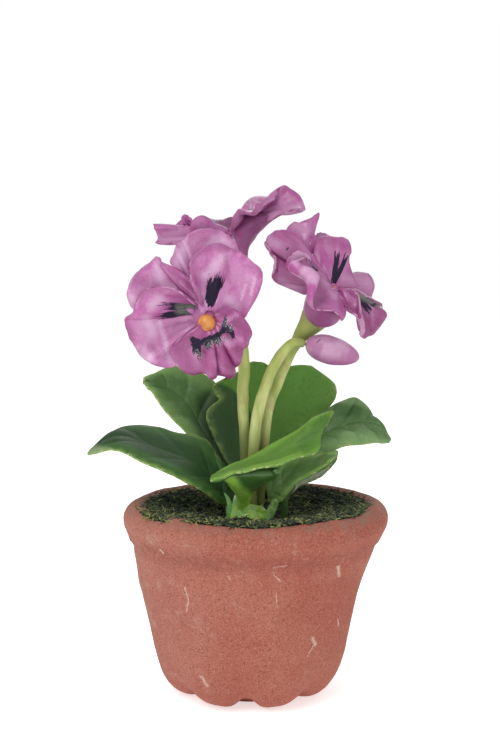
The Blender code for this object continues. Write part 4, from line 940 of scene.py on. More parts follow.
# A petal's rim runs from one side to the other, and curls there by the degrees in its curl. Its cup is
# how far its middle swells, and a fold is (place across, width, height). Patches of pale and deep pink,
# specks, dabs, grey paint and frost are (points (x, z), half width). The pale patches are partly painted
# highlights on ridges and glossy spots, and the deep ones partly painted shade. A petal's shade and dark
# are shares of painted shade. A mark is (start, end, half widths, dry from).
FRONT_PETALS = {
    "back_top": {
        "rim": [(-5.5, -4.6, 39.7), (-7.3, -4.2, 41.1), (-7.1, -4.2, 42.0), (-6.7, -4.2, 42.9),
                (-5.9, -4.0, 43.9), (-4.6, -3.8, 44.4), (-3.2, -3.8, 44.4), (-1.9, -4.0, 43.8),
                (-1.1, -4.2, 42.6), (-0.9, -4.6, 40.1)], "cup": -0.5,
        "curl": [20, 25, 35, -25, -30, 35, 25, -20, 30, 20],
        "folds": [(0.3, 0.03, 0.35), (0.4, 0.03, -0.25)],
        "pale": [([(-5.9, 42.8), (-6.6, 41.2)], 0.9), ([(-2.9, 43.4), (-1.7, 42.2)], 0.8),
                 ([(-3.9, 42.9), (-3.4, 43.4)], 0.4)],
        "deep": [([(-5.4, 43.6), (-4.1, 43.4), (-3.2, 44.0)], 0.7), ([(-5.6, 43.0), (-4.8, 41.3)], 0.35)]},
    "upper_left": {
        "rim": [(-4.9, -5.4, 38.2), (-5.7, -5.2, 40.0), (-6.8, -5.3, 40.8), (-8.0, -5.3, 41.3),
                (-8.55, -5.2, 41.75), (-9.4, -5.0, 41.2), (-10.4, -5.0, 40.3), (-11.1, -5.2, 39.3),
                (-11.2, -5.6, 38.3), (-10.5, -5.6, 36.8), (-8.2, -5.3, 35.8)], "cup": -0.6,
        "curl": [15, 35, 25, -20, -35, -25, 30, 30, -20, 20, 10],
        "folds": [(0.38, 0.035, 0.4), (0.62, 0.05, -0.2)],
        "pale": [([(-8.5, 41.0), (-7.9, 38.9)], 0.55), ([(-10.8, 38.0), (-10.4, 37.0)], 0.6),
                 ([(-7.4, 38.9), (-6.4, 39.1)], 0.5)],
        "deep": [([(-11.0, 39.2), (-9.9, 39.6)], 0.6), ([(-7.9, 41.0), (-6.4, 40.2), (-5.6, 39.5)], 0.45)]},
    "upper_right": {
        "rim": [(-4.7, -5.6, 37.9), (-5.4, -5.8, 40.0), (-5.4, -5.6, 41.4), (-4.2, -5.2, 42.7),
                (-2.6, -5.0, 42.9), (-1.3, -5.3, 42.5), (-0.1, -5.6, 41.7), (1.0, -5.8, 40.7),
                (1.1, -5.8, 39.6), (0.7, -5.6, 38.2), (-0.4, -5.2, 36.2)], "cup": -0.7,
        "curl": [30, 40, 35, 20, -25, -30, 15, 20, -25, -20, 25],
        "folds": [(0.47, 0.035, -0.35), (0.56, 0.05, 0.2)],
        "pale": [([(-3.3, 41.1), (-2.5, 41.6)], 0.5), ([(-0.8, 37.9), (-0.4, 39.2)], 0.16),
                 ([(-4.1, 40.1), (-3.2, 40.8)], 0.5), ([(-2.0, 37.9), (-1.3, 37.3)], 0.5),
                 ([(0.1, 38.4), (0.4, 39.8)], 0.2)],
        "deep": [([(-4.9, 42.0), (-3.3, 42.7), (-1.5, 42.5)], 0.45), ([(-5.2, 41.3), (-5.1, 39.5)], 0.45),
                 ([(-2.2, 41.7), (-1.9, 39.6)], 0.3), ([(0.1, 37.2), (0.5, 38.2)], 0.2)], "shade": 0.05,
        "marks": [((-3.62, 37.3), (-2.75, 40.05), (0.3, 0.52), 0.72),
                  ((-3.75, 37.6), (-3.5, 39.5), (0.3, 0.45), 0.5),
                  ((-3.95, 37.9), (-3.6, 40.3), (0.2, 0.24), 0.3)]},
    "lower_left": {
        "rim": [(-5.4, -6.2, 37.7), (-6.8, -6.3, 38.8), (-8.7, -6.2, 39.0), (-9.9, -6.0, 38.5),
                (-10.45, -6.2, 37.4), (-10.55, -6.3, 36.7), (-11.2, -6.6, 36.4), (-11.35, -6.5, 35.9),
                (-11.1, -6.3, 34.9), (-10.8, -6.0, 34.0), (-10.1, -5.8, 32.8), (-8.8, -5.8, 31.9),
                (-6.8, -5.6, 31.8), (-5.3, -5.5, 33.8)], "cup": -0.8,
        "curl": [35, 45, 35, 25, -30, -20, 30, 35, -15, 20, 30, -20, 20],
        "folds": [(0.83, 0.02, 0.4), (0.35, 0.04, 0.2), (0.52, 0.03, -0.15)],
        "pale": [([(-8.9, 37.3), (-8.2, 37.9)], 0.6), ([(-8.3, 35.9), (-7.8, 34.2), (-7.3, 32.4)], 0.3),
                 ([(-9.3, 35.9), (-8.9, 35.1)], 0.6), ([(-6.7, 32.2), (-5.8, 33.0)], 0.5),
                 ([(-10.4, 33.3), (-9.1, 32.4)], 0.7)],
        "deep": [([(-10.2, 38.0), (-9.4, 38.6), (-7.7, 38.8), (-5.9, 38.1), (-4.9, 37.3)], 0.4),
                 ([(-11.0, 35.1), (-10.6, 33.9)], 0.5), ([(-9.1, 33.8), (-8.4, 32.8)], 0.4)],
        "marks": [((-4.65, 37.15), (-8.2, 37.3), (0.28, 0.42), 0.45),
                  ((-5.1, 36.85), (-8.9, 36.25), (0.3, 0.36), 0.35),
                  ((-5.0, 36.95), (-6.9, 36.8), (0.3, 0.3), 0.7)],
        "grey": [([(-4.7, 37.1), (-6.3, 36.95)], 0.9), ([(-5.2, 37.2), (-6.6, 37.3)], 0.4)]},
}
FRONT_LIP = {
    "throat": (-3.6, -6.3, 36.0),
    "rim": [(-4.8, -6.7, 35.5), (-6.0, -7.0, 34.6), (-7.0, -7.2, 33.6), (-6.8, -7.0, 32.6),
            (-6.1, -6.8, 31.4), (-4.9, -6.8, 31.0), (-3.8, -6.9, 31.3), (-3.3, -6.8, 31.0),
            (-2.9, -6.6, 30.75), (-2.2, -6.6, 31.2), (-1.4, -6.6, 31.1), (-1.05, -6.7, 31.8),
            (-0.9, -6.7, 32.7), (-0.2, -6.6, 33.6), (-0.1, -6.5, 34.2), (0.2, -6.4, 34.9),
            (-0.5, -6.3, 36.2), (-1.7, -6.3, 37.2), (-2.8, -6.3, 37.1)], "cup": 0.5, "roll": 0.55,
    "curl": [20, -30, -80, -110, -60, -100, -120, -110, -40, -110, -120, -60, -50, -90, -70, -30, 20, 30,
             20],
    "folds": [(0.3, 0.02, -0.3), (0.38, 0.04, 0.35), (0.45, 0.018, -0.45), (0.52, 0.035, 0.4),
              (0.585, 0.018, -0.4), (0.65, 0.03, 0.3), (0.71, 0.02, -0.35)],
    "pale": [([(-5.1, 33.2), (-4.7, 32.0)], 0.5), ([(-3.3, 33.0), (-2.6, 31.5)], 0.35),
             ([(-2.0, 36.1), (-1.2, 36.5)], 0.3), ([(-2.0, 33.9), (-0.9, 34.3)], 0.4)],
    "deep": [([(-6.2, 34.3), (-5.8, 32.8), (-5.2, 31.7)], 1.0),
             ([(-3.5, 32.9), (-2.2, 33.2), (-1.8, 32.2)], 0.6), ([(-4.3, 32.4), (-3.9, 31.5)], 0.4),
             ([(-1.3, 35.9), (-0.4, 35.0)], 0.5), ([(-3.1, 31.4), (-2.2, 31.2)], 0.4)],
    "dabs": [([(-5.1, 34.35), (-4.5, 34.0)], 0.34), ([(-5.05, 33.9), (-4.75, 33.6)], 0.3),
             ([(-4.4, 34.1), (-3.7, 34.4), (-3.0, 34.6), (-2.5, 35.0), (-2.1, 35.35)], 0.27),
             ([(-2.3, 35.5), (-1.95, 35.2), (-1.6, 34.9)], 0.3)],
    "marks": [((-4.8, 34.0), (-4.45, 32.2), (0.36, 0.12), 0.3),
              ((-4.95, 33.9), (-5.15, 32.8), (0.22, 0.12), 0.3),
              ((-3.9, 34.2), (-3.5, 33.1), (0.4, 0.2), 0.15),
              ((-3.1, 34.5), (-2.8, 33.6), (0.45, 0.3), 0.1),
              ((-2.35, 35.3), (-2.15, 36.6), (0.24, 0.1), 0.3),
              ((-1.8, 35.2), (-1.35, 34.2), (0.28, 0.12), 0.4)],
    "frost": [([(-2.3, 35.9), (-1.7, 35.35)], 0.5), ([(-3.9, 33.75), (-3.0, 34.1), (-2.0, 34.35)], 0.55),
              ([(-4.9, 33.2), (-4.4, 32.8)], 0.4)]
}
BACK_PETALS = {
    "dome": {
        "rim": [(-1.0, 6.6, 46.3), (-0.9, 8.2, 47.1), (-0.45, 9.4, 47.85), (0.1, 10.0, 48.35),
                (0.7, 10.2, 48.6), (1.5, 10.0, 48.5), (2.1, 9.2, 48.2), (2.4, 7.8, 47.7),
                (2.1, 6.6, 47.0)], "cup": -0.2, "curl": [20, 30, 30, 40, 30, 20], "folds": [],
        "deep": [([(-0.6, 47.6), (0.6, 48.2), (1.6, 48.2)], 0.4)],
        "marks": [((-0.4, 46.75), (1.2, 47.05), (0.2, 0.25), 0.4)],
        "grey": [([(-0.4, 46.8), (1.0, 47.0)], 0.6)]},
    "dip": {
        "throat": (-0.8, 4.6, 43.9),
        "rim": [(-4.8, 5.6, 45.4), (-4.5, 6.9, 46.1), (-3.7, 7.5, 46.0), (-2.9, 7.8, 46.05),
                (-2.2, 7.8, 46.2), (-1.4, 7.4, 46.35), (-0.4, 6.4, 46.5)], "cup": -0.3,
        "curl": [10, 10, 10, 10, 10], "folds": [], "dark": 0.65},
    "left": {
        "throat": (-1.2, 4.9, 44.3),
        "rim": [(-2.6, 5.6, 45.2), (-4.6, 5.8, 45.4), (-6.2, 5.9, 45.85), (-7.0, 5.8, 45.85),
                (-7.6, 5.6, 45.35), (-8.3, 5.2, 44.9), (-9.1, 4.9, 44.95), (-9.7, 4.8, 45.3),
                (-9.55, 4.5, 44.8), (-9.15, 4.2, 44.1), (-9.4, 3.9, 43.6), (-8.9, 3.7, 43.35),
                (-7.8, 3.6, 43.4), (-7.1, 3.5, 43.2), (-4.4, 3.4, 43.5)], "cup": 0.2,
        "curl": [20, 30, 30, -20, -20, -10, 0, 10, 20, -20, -30, -20, 10],
        "folds": [(0.56, 0.06, 0.35), (0.66, 0.05, -0.3)], "pale": [([(-9.0, 43.9), (-6.4, 44.3)], 0.7)],
        "deep": [([(-8.9, 44.7), (-7.4, 44.9)], 0.3)]},
    "nub": {
        "throat": (-5.3, 5.0, 44.6),
        "rim": [(-6.2, 4.5, 45.1), (-6.75, 4.5, 45.7), (-6.8, 4.6, 46.1), (-6.55, 4.8, 46.3),
                (-6.25, 4.8, 46.2), (-6.0, 4.6, 45.7), (-5.7, 4.5, 45.3)], "cup": 0.2,
        "curl": [10, 30, 50, 60, 40, 20], "folds": []},
    "curled": {
        "throat": (-1.9, 3.5, 44.3),
        "rim": [(-5.9, 2.4, 44.3), (-5.85, 2.0, 44.8), (-5.5, 1.8, 45.1), (-4.9, 1.6, 45.3),
                (-4.4, 1.6, 45.2), (-3.8, 1.8, 44.95), (-3.1, 2.2, 44.6), (-2.5, 2.5, 44.3),
                (-2.1, 2.8, 43.9)], "cup": 0.3, "curl": [20, 60, 120, 140, 120, 80, 60, 30], "folds": [],
        "shade": 0.28, "deep": [([(-4.8, 45.2), (-3.2, 44.6)], 0.5)]},
    "right": {
        "rim": [(0.8, 2.2, 46.4), (1.4, 2.8, 47.1), (2.0, 3.6, 47.6), (2.6, 4.4, 48.1), (2.8, 5.2, 48.9),
                (3.3, 5.6, 49.3), (3.7, 5.6, 49.3), (4.2, 5.6, 48.9), (4.9, 5.2, 48.3), (5.2, 4.9, 47.8),
                (5.5, 4.3, 47.0), (5.0, 3.9, 46.8), (4.1, 3.5, 46.6), (3.2, 3.1, 46.2), (2.5, 2.9, 45.8),
                (2.0, 2.8, 45.4)], "cup": 0.2,
        "curl": [20, 20, 10, 20, 30, 40, 30, 10, -20, -30, -30, -20, 10, 10],
        "folds": [(0.66, 0.05, -0.35)], "pale": [([(1.9, 46.0), (3.4, 46.7), (5.1, 47.1)], 0.55)],
        "deep": [([(3.4, 48.7), (4.2, 47.9)], 0.6)]},
    "front": {
        "rim": [(-1.9, 3.0, 44.3), (-1.7, 2.4, 44.9), (-1.4, 1.9, 45.4), (-1.0, 1.6, 46.1),
                (-0.6, 1.5, 46.3), (0.0, 1.5, 46.2), (0.6, 1.6, 46.2), (1.0, 1.9, 46.7), (1.3, 2.3, 46.8)],
        "cup": 0.3, "curl": [30, 70, 100, 90, 60, 60, 110, 80], "folds": [(0.35, 0.05, 0.2)],
        "deep": [([(-1.5, 44.6), (-0.8, 45.8)], 0.4)]},
}
BACK_LIP = {
    "throat": (0.4, 7.0, 46.0),
    "rim": [(-0.8, 7.4, 46.0), (-1.0, 8.8, 46.4), (-0.9, 10.6, 47.0), (-0.7, 12.2, 47.4),
            (-0.2, 12.8, 47.7), (0.4, 12.9, 47.7), (1.3, 12.6, 47.8), (2.1, 11.6, 47.7), (2.6, 9.8, 47.1),
            (2.4, 8.2, 46.4)], "cup": 0.4, "curl": [20, 40, -30, 45, -30, 50, -30, 40, 20],
    "folds": [(0.4, 0.04, -0.25), (0.6, 0.04, -0.25)]
}
RIGHT_PETALS = {
    "small": {
        "rim": [(6.5, 3.4, 44.0), (6.6, 3.6, 44.35), (7.0, 3.8, 44.5), (7.5, 3.8, 44.4), (8.0, 3.6, 44.1),
                (8.3, 3.4, 43.5)], "cup": 0.0, "curl": [10, 20, 10], "folds": [],
        "pale": [([(6.6, 44.2), (7.9, 44.2)], 0.7)]},
    "back": {
        "rim": [(8.9, 3.0, 41.6), (10.1, 3.4, 40.4), (10.5, 3.5, 40.5), (11.2, 3.8, 40.55),
                (11.9, 4.0, 40.3), (12.3, 4.0, 39.6), (12.35, 3.7, 39.0), (12.1, 3.4, 38.3),
                (12.0, 3.2, 37.7)], "cup": 0.2, "curl": [10, 20, 30, 20, 10], "folds": [],
        "pale": [([(10.6, 40.0), (11.6, 39.6)], 0.9)]},
    "left": {
        "rim": [(5.2, 0.3, 38.3), (4.2, 0.2, 38.7), (3.3, 0.1, 39.1), (2.4, 0.0, 39.55),
                (2.05, -0.2, 40.0), (2.2, -0.4, 40.7), (2.3, -0.6, 41.4), (2.3, -0.7, 42.1),
                (1.8, -0.8, 42.7), (1.15, -0.9, 43.1), (1.4, -0.6, 43.6), (2.1, 0.2, 44.3),
                (2.8, 0.6, 44.6), (3.5, 0.9, 44.6), (4.2, 1.1, 44.3), (4.7, 1.2, 43.5), (5.0, 1.2, 42.7)],
        "cup": 0.3, "curl": [10, 10, 20, 60, 110, 130, 120, 110, 100, 60, -20, -40, -40, -20, 10, 20],
        "folds": [(0.6, 0.05, 0.35), (0.45, 0.05, -0.3)],
        "pale": [([(1.7, 43.5), (2.6, 43.2)], 0.5), ([(3.1, 39.6), (4.6, 38.7)], 0.5)],
        "deep": [([(2.7, 41.8), (4.3, 42.4)], 0.7), ([(3.4, 44.1), (4.4, 43.2)], 0.45),
                 ([(3.6, 40.0), (4.8, 39.6)], 0.7)],
        "specks": [([(3.45, 42.6), (3.65, 42.8)], 0.09), ([(2.6, 40.9), (2.65, 40.5)], 0.05)]},
    "top": {
        "throat": (5.5, 1.5, 42.0),
        "rim": [(3.9, 1.6, 43.6), (3.5, 1.8, 44.6), (4.2, 2.2, 45.4), (4.9, 2.4, 45.45), (5.8, 2.6, 45.7),
                (6.3, 2.8, 46.1), (6.75, 2.9, 46.4), (6.35, 2.8, 45.9), (6.05, 2.6, 45.2),
                (6.25, 2.5, 44.4), (6.75, 2.4, 43.5), (7.0, 2.2, 42.7)], "cup": -0.1,
        "curl": [10, 20, -30, -20, 10, 0, 0, 20, 30], "folds": [(0.35, 0.06, 0.2)],
        "pale": [([(4.4, 45.0), (5.4, 44.5)], 0.6)], "deep": [([(6.0, 43.8), (6.2, 42.4)], 0.5)]},
    "upper_right": {
        "rim": [(7.1, 0.4, 39.8), (6.4, 0.7, 40.6), (6.05, 1.1, 41.5), (6.1, 1.5, 42.5), (6.4, 2.0, 43.3),
                (6.9, 2.3, 43.9), (7.5, 2.3, 44.05), (8.4, 2.3, 44.0), (9.1, 2.2, 44.0), (9.6, 2.0, 43.7),
                (9.85, 1.7, 43.0), (9.8, 1.4, 42.4), (9.6, 1.2, 41.9), (9.7, 1.3, 41.1), (10.0, 1.4, 40.3),
                (10.3, 1.6, 39.4), (10.4, 1.7, 38.6)], "cup": 0.25,
        "curl": [10, 15, 20, 10, -20, -40, -50, -45, -30, -30, 20, 30, 20, 10],
        "folds": [(0.25, 0.06, 0.2)],
        "deep": [([(7.0, 43.7), (8.3, 43.5), (9.5, 42.9)], 0.5), ([(6.4, 42.5), (6.8, 41.5)], 0.3)],
        "pale": [([(9.0, 40.0), (9.9, 39.6)], 0.6)],
        "marks": [((8.0, 39.35), (8.5, 42.5), (0.24, 0.3), 0.6),
                  ((8.1, 39.4), (9.45, 42.3), (0.2, 0.24), 0.6)]},
    "inner": {
        "rim": [(3.3, -1.0, 41.0), (3.4, -1.2, 41.5), (3.9, -1.4, 42.1), (4.5, -1.4, 42.5),
                (5.2, -1.2, 42.2), (5.8, -0.8, 41.4)], "cup": 0.4, "curl": [10, 20, 30, 20, 10],
        "folds": [], "dark": 0.3, "specks": [([(4.75, 42.4), (5.1, 42.15)], 0.12)]},
    "front": {
        "rim": [(5.2, -0.6, 41.8), (4.4, -1.8, 41.4), (3.6, -2.6, 41.0), (3.3, -2.9, 40.8),
                (3.9, -3.1, 40.4), (4.6, -3.4, 40.0), (5.1, -3.6, 39.4), (5.2, -3.8, 38.6),
                (5.2, -3.8, 37.6), (5.5, -3.8, 37.1), (6.0, -3.8, 36.9), (6.9, -3.8, 36.9),
                (7.8, -3.5, 36.8), (8.4, -3.2, 36.4), (8.75, -3.0, 36.1), (9.0, -2.4, 36.7),
                (8.8, -1.6, 37.6), (8.6, -0.9, 38.3)], "cup": 0.5,
        "curl": [70, 130, 170, 200, 210, 210, 200, 170, 120, 70, 30, 20, -40, -60, -60, -30, 10],
        "roll": 0.62, "folds": [], "deep": [([(6.4, 39.6), (6.6, 37.8)], 0.9)],
        "pale": [([(7.0, 39.6), (7.9, 38.2)], 0.4)], "specks": [([(5.4, 41.7), (6.4, 40.6)], 0.13)]},
}
RIGHT_LIP = {
    "throat": (9.1, -0.2, 38.1),
    "rim": [(8.4, 1.0, 38.9), (9.4, 1.8, 38.85), (10.5, 2.2, 38.7), (11.4, 2.6, 38.4), (12.1, 2.4, 37.8),
            (12.4, 2.0, 37.4), (12.9, 1.8, 37.5), (12.95, 1.5, 36.9), (13.1, 1.0, 36.2), (12.8, 0.5, 35.4),
            (12.2, 0.0, 34.6), (11.4, -0.4, 34.3), (11.0, -0.8, 34.1), (10.65, -1.0, 34.3),
            (10.9, -1.0, 34.8), (10.7, -1.2, 35.6), (10.5, -1.6, 36.3), (10.0, -1.7, 36.6),
            (9.2, -1.6, 36.9), (8.7, -1.2, 37.6)], "cup": 0.5,
    "curl": [20, 10, -10, -20, 10, 20, 20, -20, -30, -30, 20, 30, 50, 40, 60, 60, 40, 30, 20],
    "folds": [(0.42, 0.03, 0.4), (0.52, 0.04, -0.25)],
    "pale": [([(11.6, 37.4), (11.8, 36.4), (11.9, 35.4)], 0.22)],
    "deep": [([(12.3, 36.9), (12.0, 35.2)], 0.5), ([(10.9, 36.6), (11.1, 35.2)], 0.5)],
    "marks": [((10.3, 38.1), (11.7, 36.6), (0.3, 0.34), 0.45),
              ((10.4, 38.3), (12.7, 37.0), (0.22, 0.3), 0.4)],
    "grey": [([(10.3, 38.4), (12.6, 37.2)], 0.6)]
}
RIGHT_LOBE = {
    "throat": (8.5, -0.4, 38.5),
    "rim": [(8.4, -0.6, 38.85), (9.0, -0.9, 38.85), (9.6, -1.1, 38.8), (10.1, -1.5, 38.3),
            (10.4, -2.0, 37.6), (10.5, -2.3, 36.8), (10.5, -2.4, 36.0), (10.0, -2.2, 36.4),
            (9.3, -2.0, 36.8), (8.8, -1.6, 37.4), (8.5, -1.2, 38.0)], "cup": 0.6,
    "curl": [20, 40, 70, 90, 100, 90, 50, 20, 20, 20], "folds": [],
    "pale": [([(9.5, 38.3), (10.0, 37.6)], 0.5)]
}
BLOOMS = {
    "front": {
        "throat": (-3.7, -5.2, 36.4), "looks": (0.05, -0.97, 0.22), "shade": 0.0,
        "funnel": [(-3.75, -3.2, 35.95, 0.9), (-3.75, -4.0, 36.1, 1.0), (-3.7, -5.2, 36.4, 1.6)],
        "eye": (-3.9, -6.6, 35.8, 0.8),
        "petals": FRONT_PETALS, "lip": FRONT_LIP},
    "back": {
        "throat": (0.2, 4.9, 46.2), "looks": (0.15, 0.3, 0.94), "shade": 0.25,
        "rings": [(-0.72, 3.5, 42.0, 0.5, 0.5), (-0.7, 3.7, 42.8, 0.56, 0.55),
                  (-0.65, 3.9, 43.5, 0.84, 0.8), (-0.5, 4.1, 44.3, 1.32, 1.2),
                  (-0.15, 4.3, 45.0, 1.66, 1.5), (0.3, 4.5, 45.5, 1.75, 1.7), (0.8, 4.9, 46.1, 1.9, 1.8),
                  (1.0, 5.2, 46.4, 1.5, 1.4)], "eye": (0.35, 5.4, 46.2, 0.45),
        "petals": BACK_PETALS, "lip": BACK_LIP},
    "right": {
        "throat": (8.0, 0.2, 38.9), "looks": (0.62, -0.14, 0.77), "shade": 0.3,
        "funnel": [(6.1, 0.4, 36.1, 1.2), (6.9, 0.3, 37.4, 1.75), (7.7, 0.25, 38.5, 1.6),
                   (8.1, 0.3, 39.0, 0.9)], "cup": ((7.05, -0.9, 36.95), (1.85, 1.75, 1.75)),
        "plug": ((8.0, 0.35, 38.95), (0.55, 0.4, 0.55)), "eye": (8.15, -0.1, 39.0, 0.17),
        "petals": RIGHT_PETALS, "lip": RIGHT_LIP, "lobe": RIGHT_LOBE},
}


def brush_mark(paint, start, end, widths, dry):
    """A dry brush's mark from start to end (x, z) between two half widths. From a share of its length on
    it breaks up into the lines of the bristles."""
    (ax, az), (bx, bz) = start, end
    dx, dz = bx - ax, bz - az
    length = math.hypot(dx, dz)
    gone = ((paint.x - ax) * dx + (paint.z - az) * dz) / length ** 2
    across = ((paint.x - ax) * dz - (paint.z - az) * dx) / length
    side = across / (widths[0] + (widths[1] - widths[0]) * gone.most(0.0).least(1.2))
    lines = paint.vector(across * 9.0, gone * length * 0.9, ax + az)
    bristles = paint.cloud(1.0, 4, 0.7, at=lines)
    body = side.size().between(1.45, 0.55) * gone.between(-0.12, 0.06) * gone.between(1.3, dry)
    return (body + (bristles - 0.5) * 2.6).between(0.42, 0.62) * body.between(0.02, 0.25)


def soft_patches(petal, runs, tone, strength):
    """Coats of a tone in soft, frayed patches along runs of points."""
    return [(tone, petal.stroke(points, width * 1.5, 0.5, 0.0) * strength) for points, width in runs]


def painted(petal, shape):
    """All of a petal's brush marks as one wash, or None, and the black and grey of their paint."""
    strokes = [petal.stroke(points, width, 0.15) for points, width in shape.get("specks", ())]
    strokes += [petal.stroke(points, width, 0.55, 0.7) for points, width in shape.get("dabs", ())]
    strokes += [brush_mark(petal, *mark) for mark in shape.get("marks", ())]
    ink = BRUSH_BLACK
    for points, width in shape.get("grey", ()):
        streaks = petal.cloud(1.0, 3, at=petal.vector(petal.x * 0.7, 0.0, petal.z * 4.5))
        worn = petal.stroke(points, width, 0.3, 0.0) * streaks.between(0.32, 0.55)
        ink = petal.coats(ink, (BRUSH_GREY, worn))
    return reduce(Wash.most, strokes) if strokes else None, ink


def petal_front(name, shape, shade, lip):
    """The painted side of a petal: pearly pink with painted satin sheen, pale patches that are partly
    painted highlights, deep ones that are partly painted shade, and brush marks.
    """
    petal = Finish(name, Specular_IOR_Level=0.2, Subsurface_Weight=0.05, Subsurface_Scale=0.3 * MM,
                   Coat_Roughness=0.2)
    light, middle, dark = (PINK, LIP_MAGENTA, LIP_DARK) if lip else (PALE_PINK, PINK, MAGENTA)
    pearly, deep, satin_sheen_share, glossy = 0.5 - shade, 0.5, 0.3 - 0.5 * shade, 0.35
    if lip:
        pearly, deep, satin_sheen_share, glossy = 0.18, 0.75, 0.15, 0.65
    u, v = petal.print_uv()
    rays = petal.cloud(1.0, 3, at=petal.vector(u * 9.0, v * 1.3, petal.x * 0.05))
    soft = petal.cloud(2.0, 3)
    pearl = petal.cloud(1.3, 5, 0.55)
    edge = v.between(0.88, 0.99).most((u - 0.5).size().between(0.46, 0.497))
    satin = petal.cloud(0.06, 1)
    colour = petal.coats(dark, (middle, (soft * 0.6 + rays * 0.4).between(0.38, 0.58)),
                         (light, pearl.between(0.5, 0.75) * pearly),
                         *soft_patches(petal, shape.get("pale", ()), light, 0.9 - shade),
                         *soft_patches(petal, shape.get("deep", ()), DEEP_MAGENTA, deep),
                         (DEEP_MAGENTA, edge * petal.cloud(1.0, 3).between(0.32, 0.6) * 0.55),
                         # Painted shade: the bloom's shade, and the petal's dark where it lies in shadow.
                         (PETAL_SHADE, shade), (PETAL_DARK_SHADE, shape.get("dark", 0.0)),
                         # Painted sheen: pale specks of satin.
                         (PETAL_SATIN_SHEEN, satin.between(0.6, 0.75) * satin_sheen_share))
    rough = 0.32 + 0.22 * pearl
    gloss = glossy + 0.35 * pearl
    marks, ink = painted(petal, shape)
    if marks:
        colour = petal.coats(colour, (ink, marks))
        rough = rough + 0.4 * marks
        gloss = gloss * (1.0 - marks)
    for points, width in shape.get("frost", ()):
        frost = petal.stroke(points, width, 0.5, 0.1) * petal.cloud(0.12, 4, 0.75).between(0.47, 0.62)
        colour = petal.coats(colour, (BRUSH_FROST, frost * 0.75))
    petal.plug(petal.shader.inputs["Coat Weight"], gloss)
    petal.lay(colour, rough, satin * 0.5 + pearl, 0.03)
    return petal.material


def petal_back(name, light, shade, pale=(), dark=0.0):
    """A petal's plain side, with painted satin sheen. It may have pale patches, partly painted highlights,
    and lie in painted shade.
    """
    petal = Finish(name, Specular_IOR_Level=0.3, Subsurface_Weight=0.12, Subsurface_Scale=0.6 * MM)
    v = petal.print_uv()[1]
    soft = petal.cloud(1.8, 4)
    satin = petal.cloud(0.06, 1)
    colour = petal.coats(MAGENTA, (light, soft.between(0.34, 0.6)),
                         (DEEP_MAGENTA, v.between(0.85, 1.0) * 0.3),
                         *soft_patches(petal, pale, PALE_PINK, 0.8),
                         # Painted shade for petals in shadow.
                         (BACK_SHADE, shade), (BACK_HIDDEN_SHADE, dark),
                         # Painted sheen: pale specks of satin.
                         (PETAL_SATIN_SHEEN, satin.between(0.6, 0.75) * 0.15))
    petal.lay(colour, 0.4 + 0.2 * soft, satin * 0.5 + petal.cloud(0.3, 3), 0.03)
    return petal.material


def petal_edge():
    petal = Finish("petal_edge", Specular_IOR_Level=0.4, Subsurface_Weight=0.1, Subsurface_Scale=0.5 * MM)
    colour = petal.coats(EDGE_DARK, (EDGE_PALE, petal.cloud(0.7, 4).between(0.42, 0.6)))
    petal.lay(colour, 0.42, petal.cloud(0.2, 3), 0.03)
    return petal.material


def bead_finish():
    bead = Finish("orange_bead", Specular_IOR_Level=0.4, Subsurface_Weight=0.15, Subsurface_Scale=0.4 * MM)
    colour = bead.coats(BEAD_BROWN, (BEAD_ORANGE, bead.cloud(0.6, 3).between(0.35, 0.6)),
                        (BEAD_PINK, bead.cloud(0.25, 3).between(0.56, 0.7) * 0.45))
    bead.lay(colour, 0.35, bead.cloud(0.2), 0.02)
    return bead.material


def shape_petal(name, throat, looks, shape, materials):
    """One petal: it fans out from a small arc round the throat to its rim, which curls towards where the
    bloom looks by the given degrees, from side to side."""
    rim = in_metres(shape["rim"])
    facing = sum(((a - throat).cross(b - throat) for a, b in zip(rim, rim[1:])), Vector()).normalized()
    if facing.dot(looks) < 0:
        facing = -facing
    seed = sum(map(ord, name)) * 0.37

    def place(u, v):
        way = along(rim, u) - throat
        rough = noise.noise(Vector((u * 9, seed, 0))) * 0.02
        rough += noise.noise(Vector((u * 34, seed, 4))) * 0.012
        end = throat + way * (1 + rough)
        out = way.normalized()
        flat = (way - facing * way.dot(facing)).normalized()
        start = throat + flat * CLAW * MM
        lift = (facing - out * facing.dot(out)).normalized()
        turn = math.radians(along(shape["curl"], u))
        radius = shape.get("roll", PETAL_ROLL + 0.15 * noise.noise(Vector((u * 5, seed, 8)))) * MM
        bent = end - out * radius * math.sin(min(abs(turn), math.pi / 2))
        straight = (bent - start).length
        gone = v * (straight + radius * abs(turn))
        if gone <= straight:
            s = gone / straight
            return start.lerp(bent, s) + lift * shape["cup"] * MM * FULL_SWELL * s * (1 - s) ** 2
        phi = (gone - straight) / radius
        raised = math.copysign(radius * (1 - math.cos(phi)), turn)
        return bent + out * radius * math.sin(phi) + lift * raised

    def relief(u, v):
        fold = sum(hump(u, centre, width) * height for centre, width, height in shape["folds"])
        soft = noise.noise(Vector((u * 5, v * 3, seed))) * 0.14
        soft += noise.noise(Vector((u * 14, v * 7, seed))) * 0.04
        return fold * smooth_step(0.1, 0.55, v) + soft * smooth_step(0.1, 0.5, v)

    return clay_sheet(name, PETAL_ACROSS, PETAL_LENGTH, place, relief, PETAL_THICK, PETAL_THIN,
                      materials, facing)


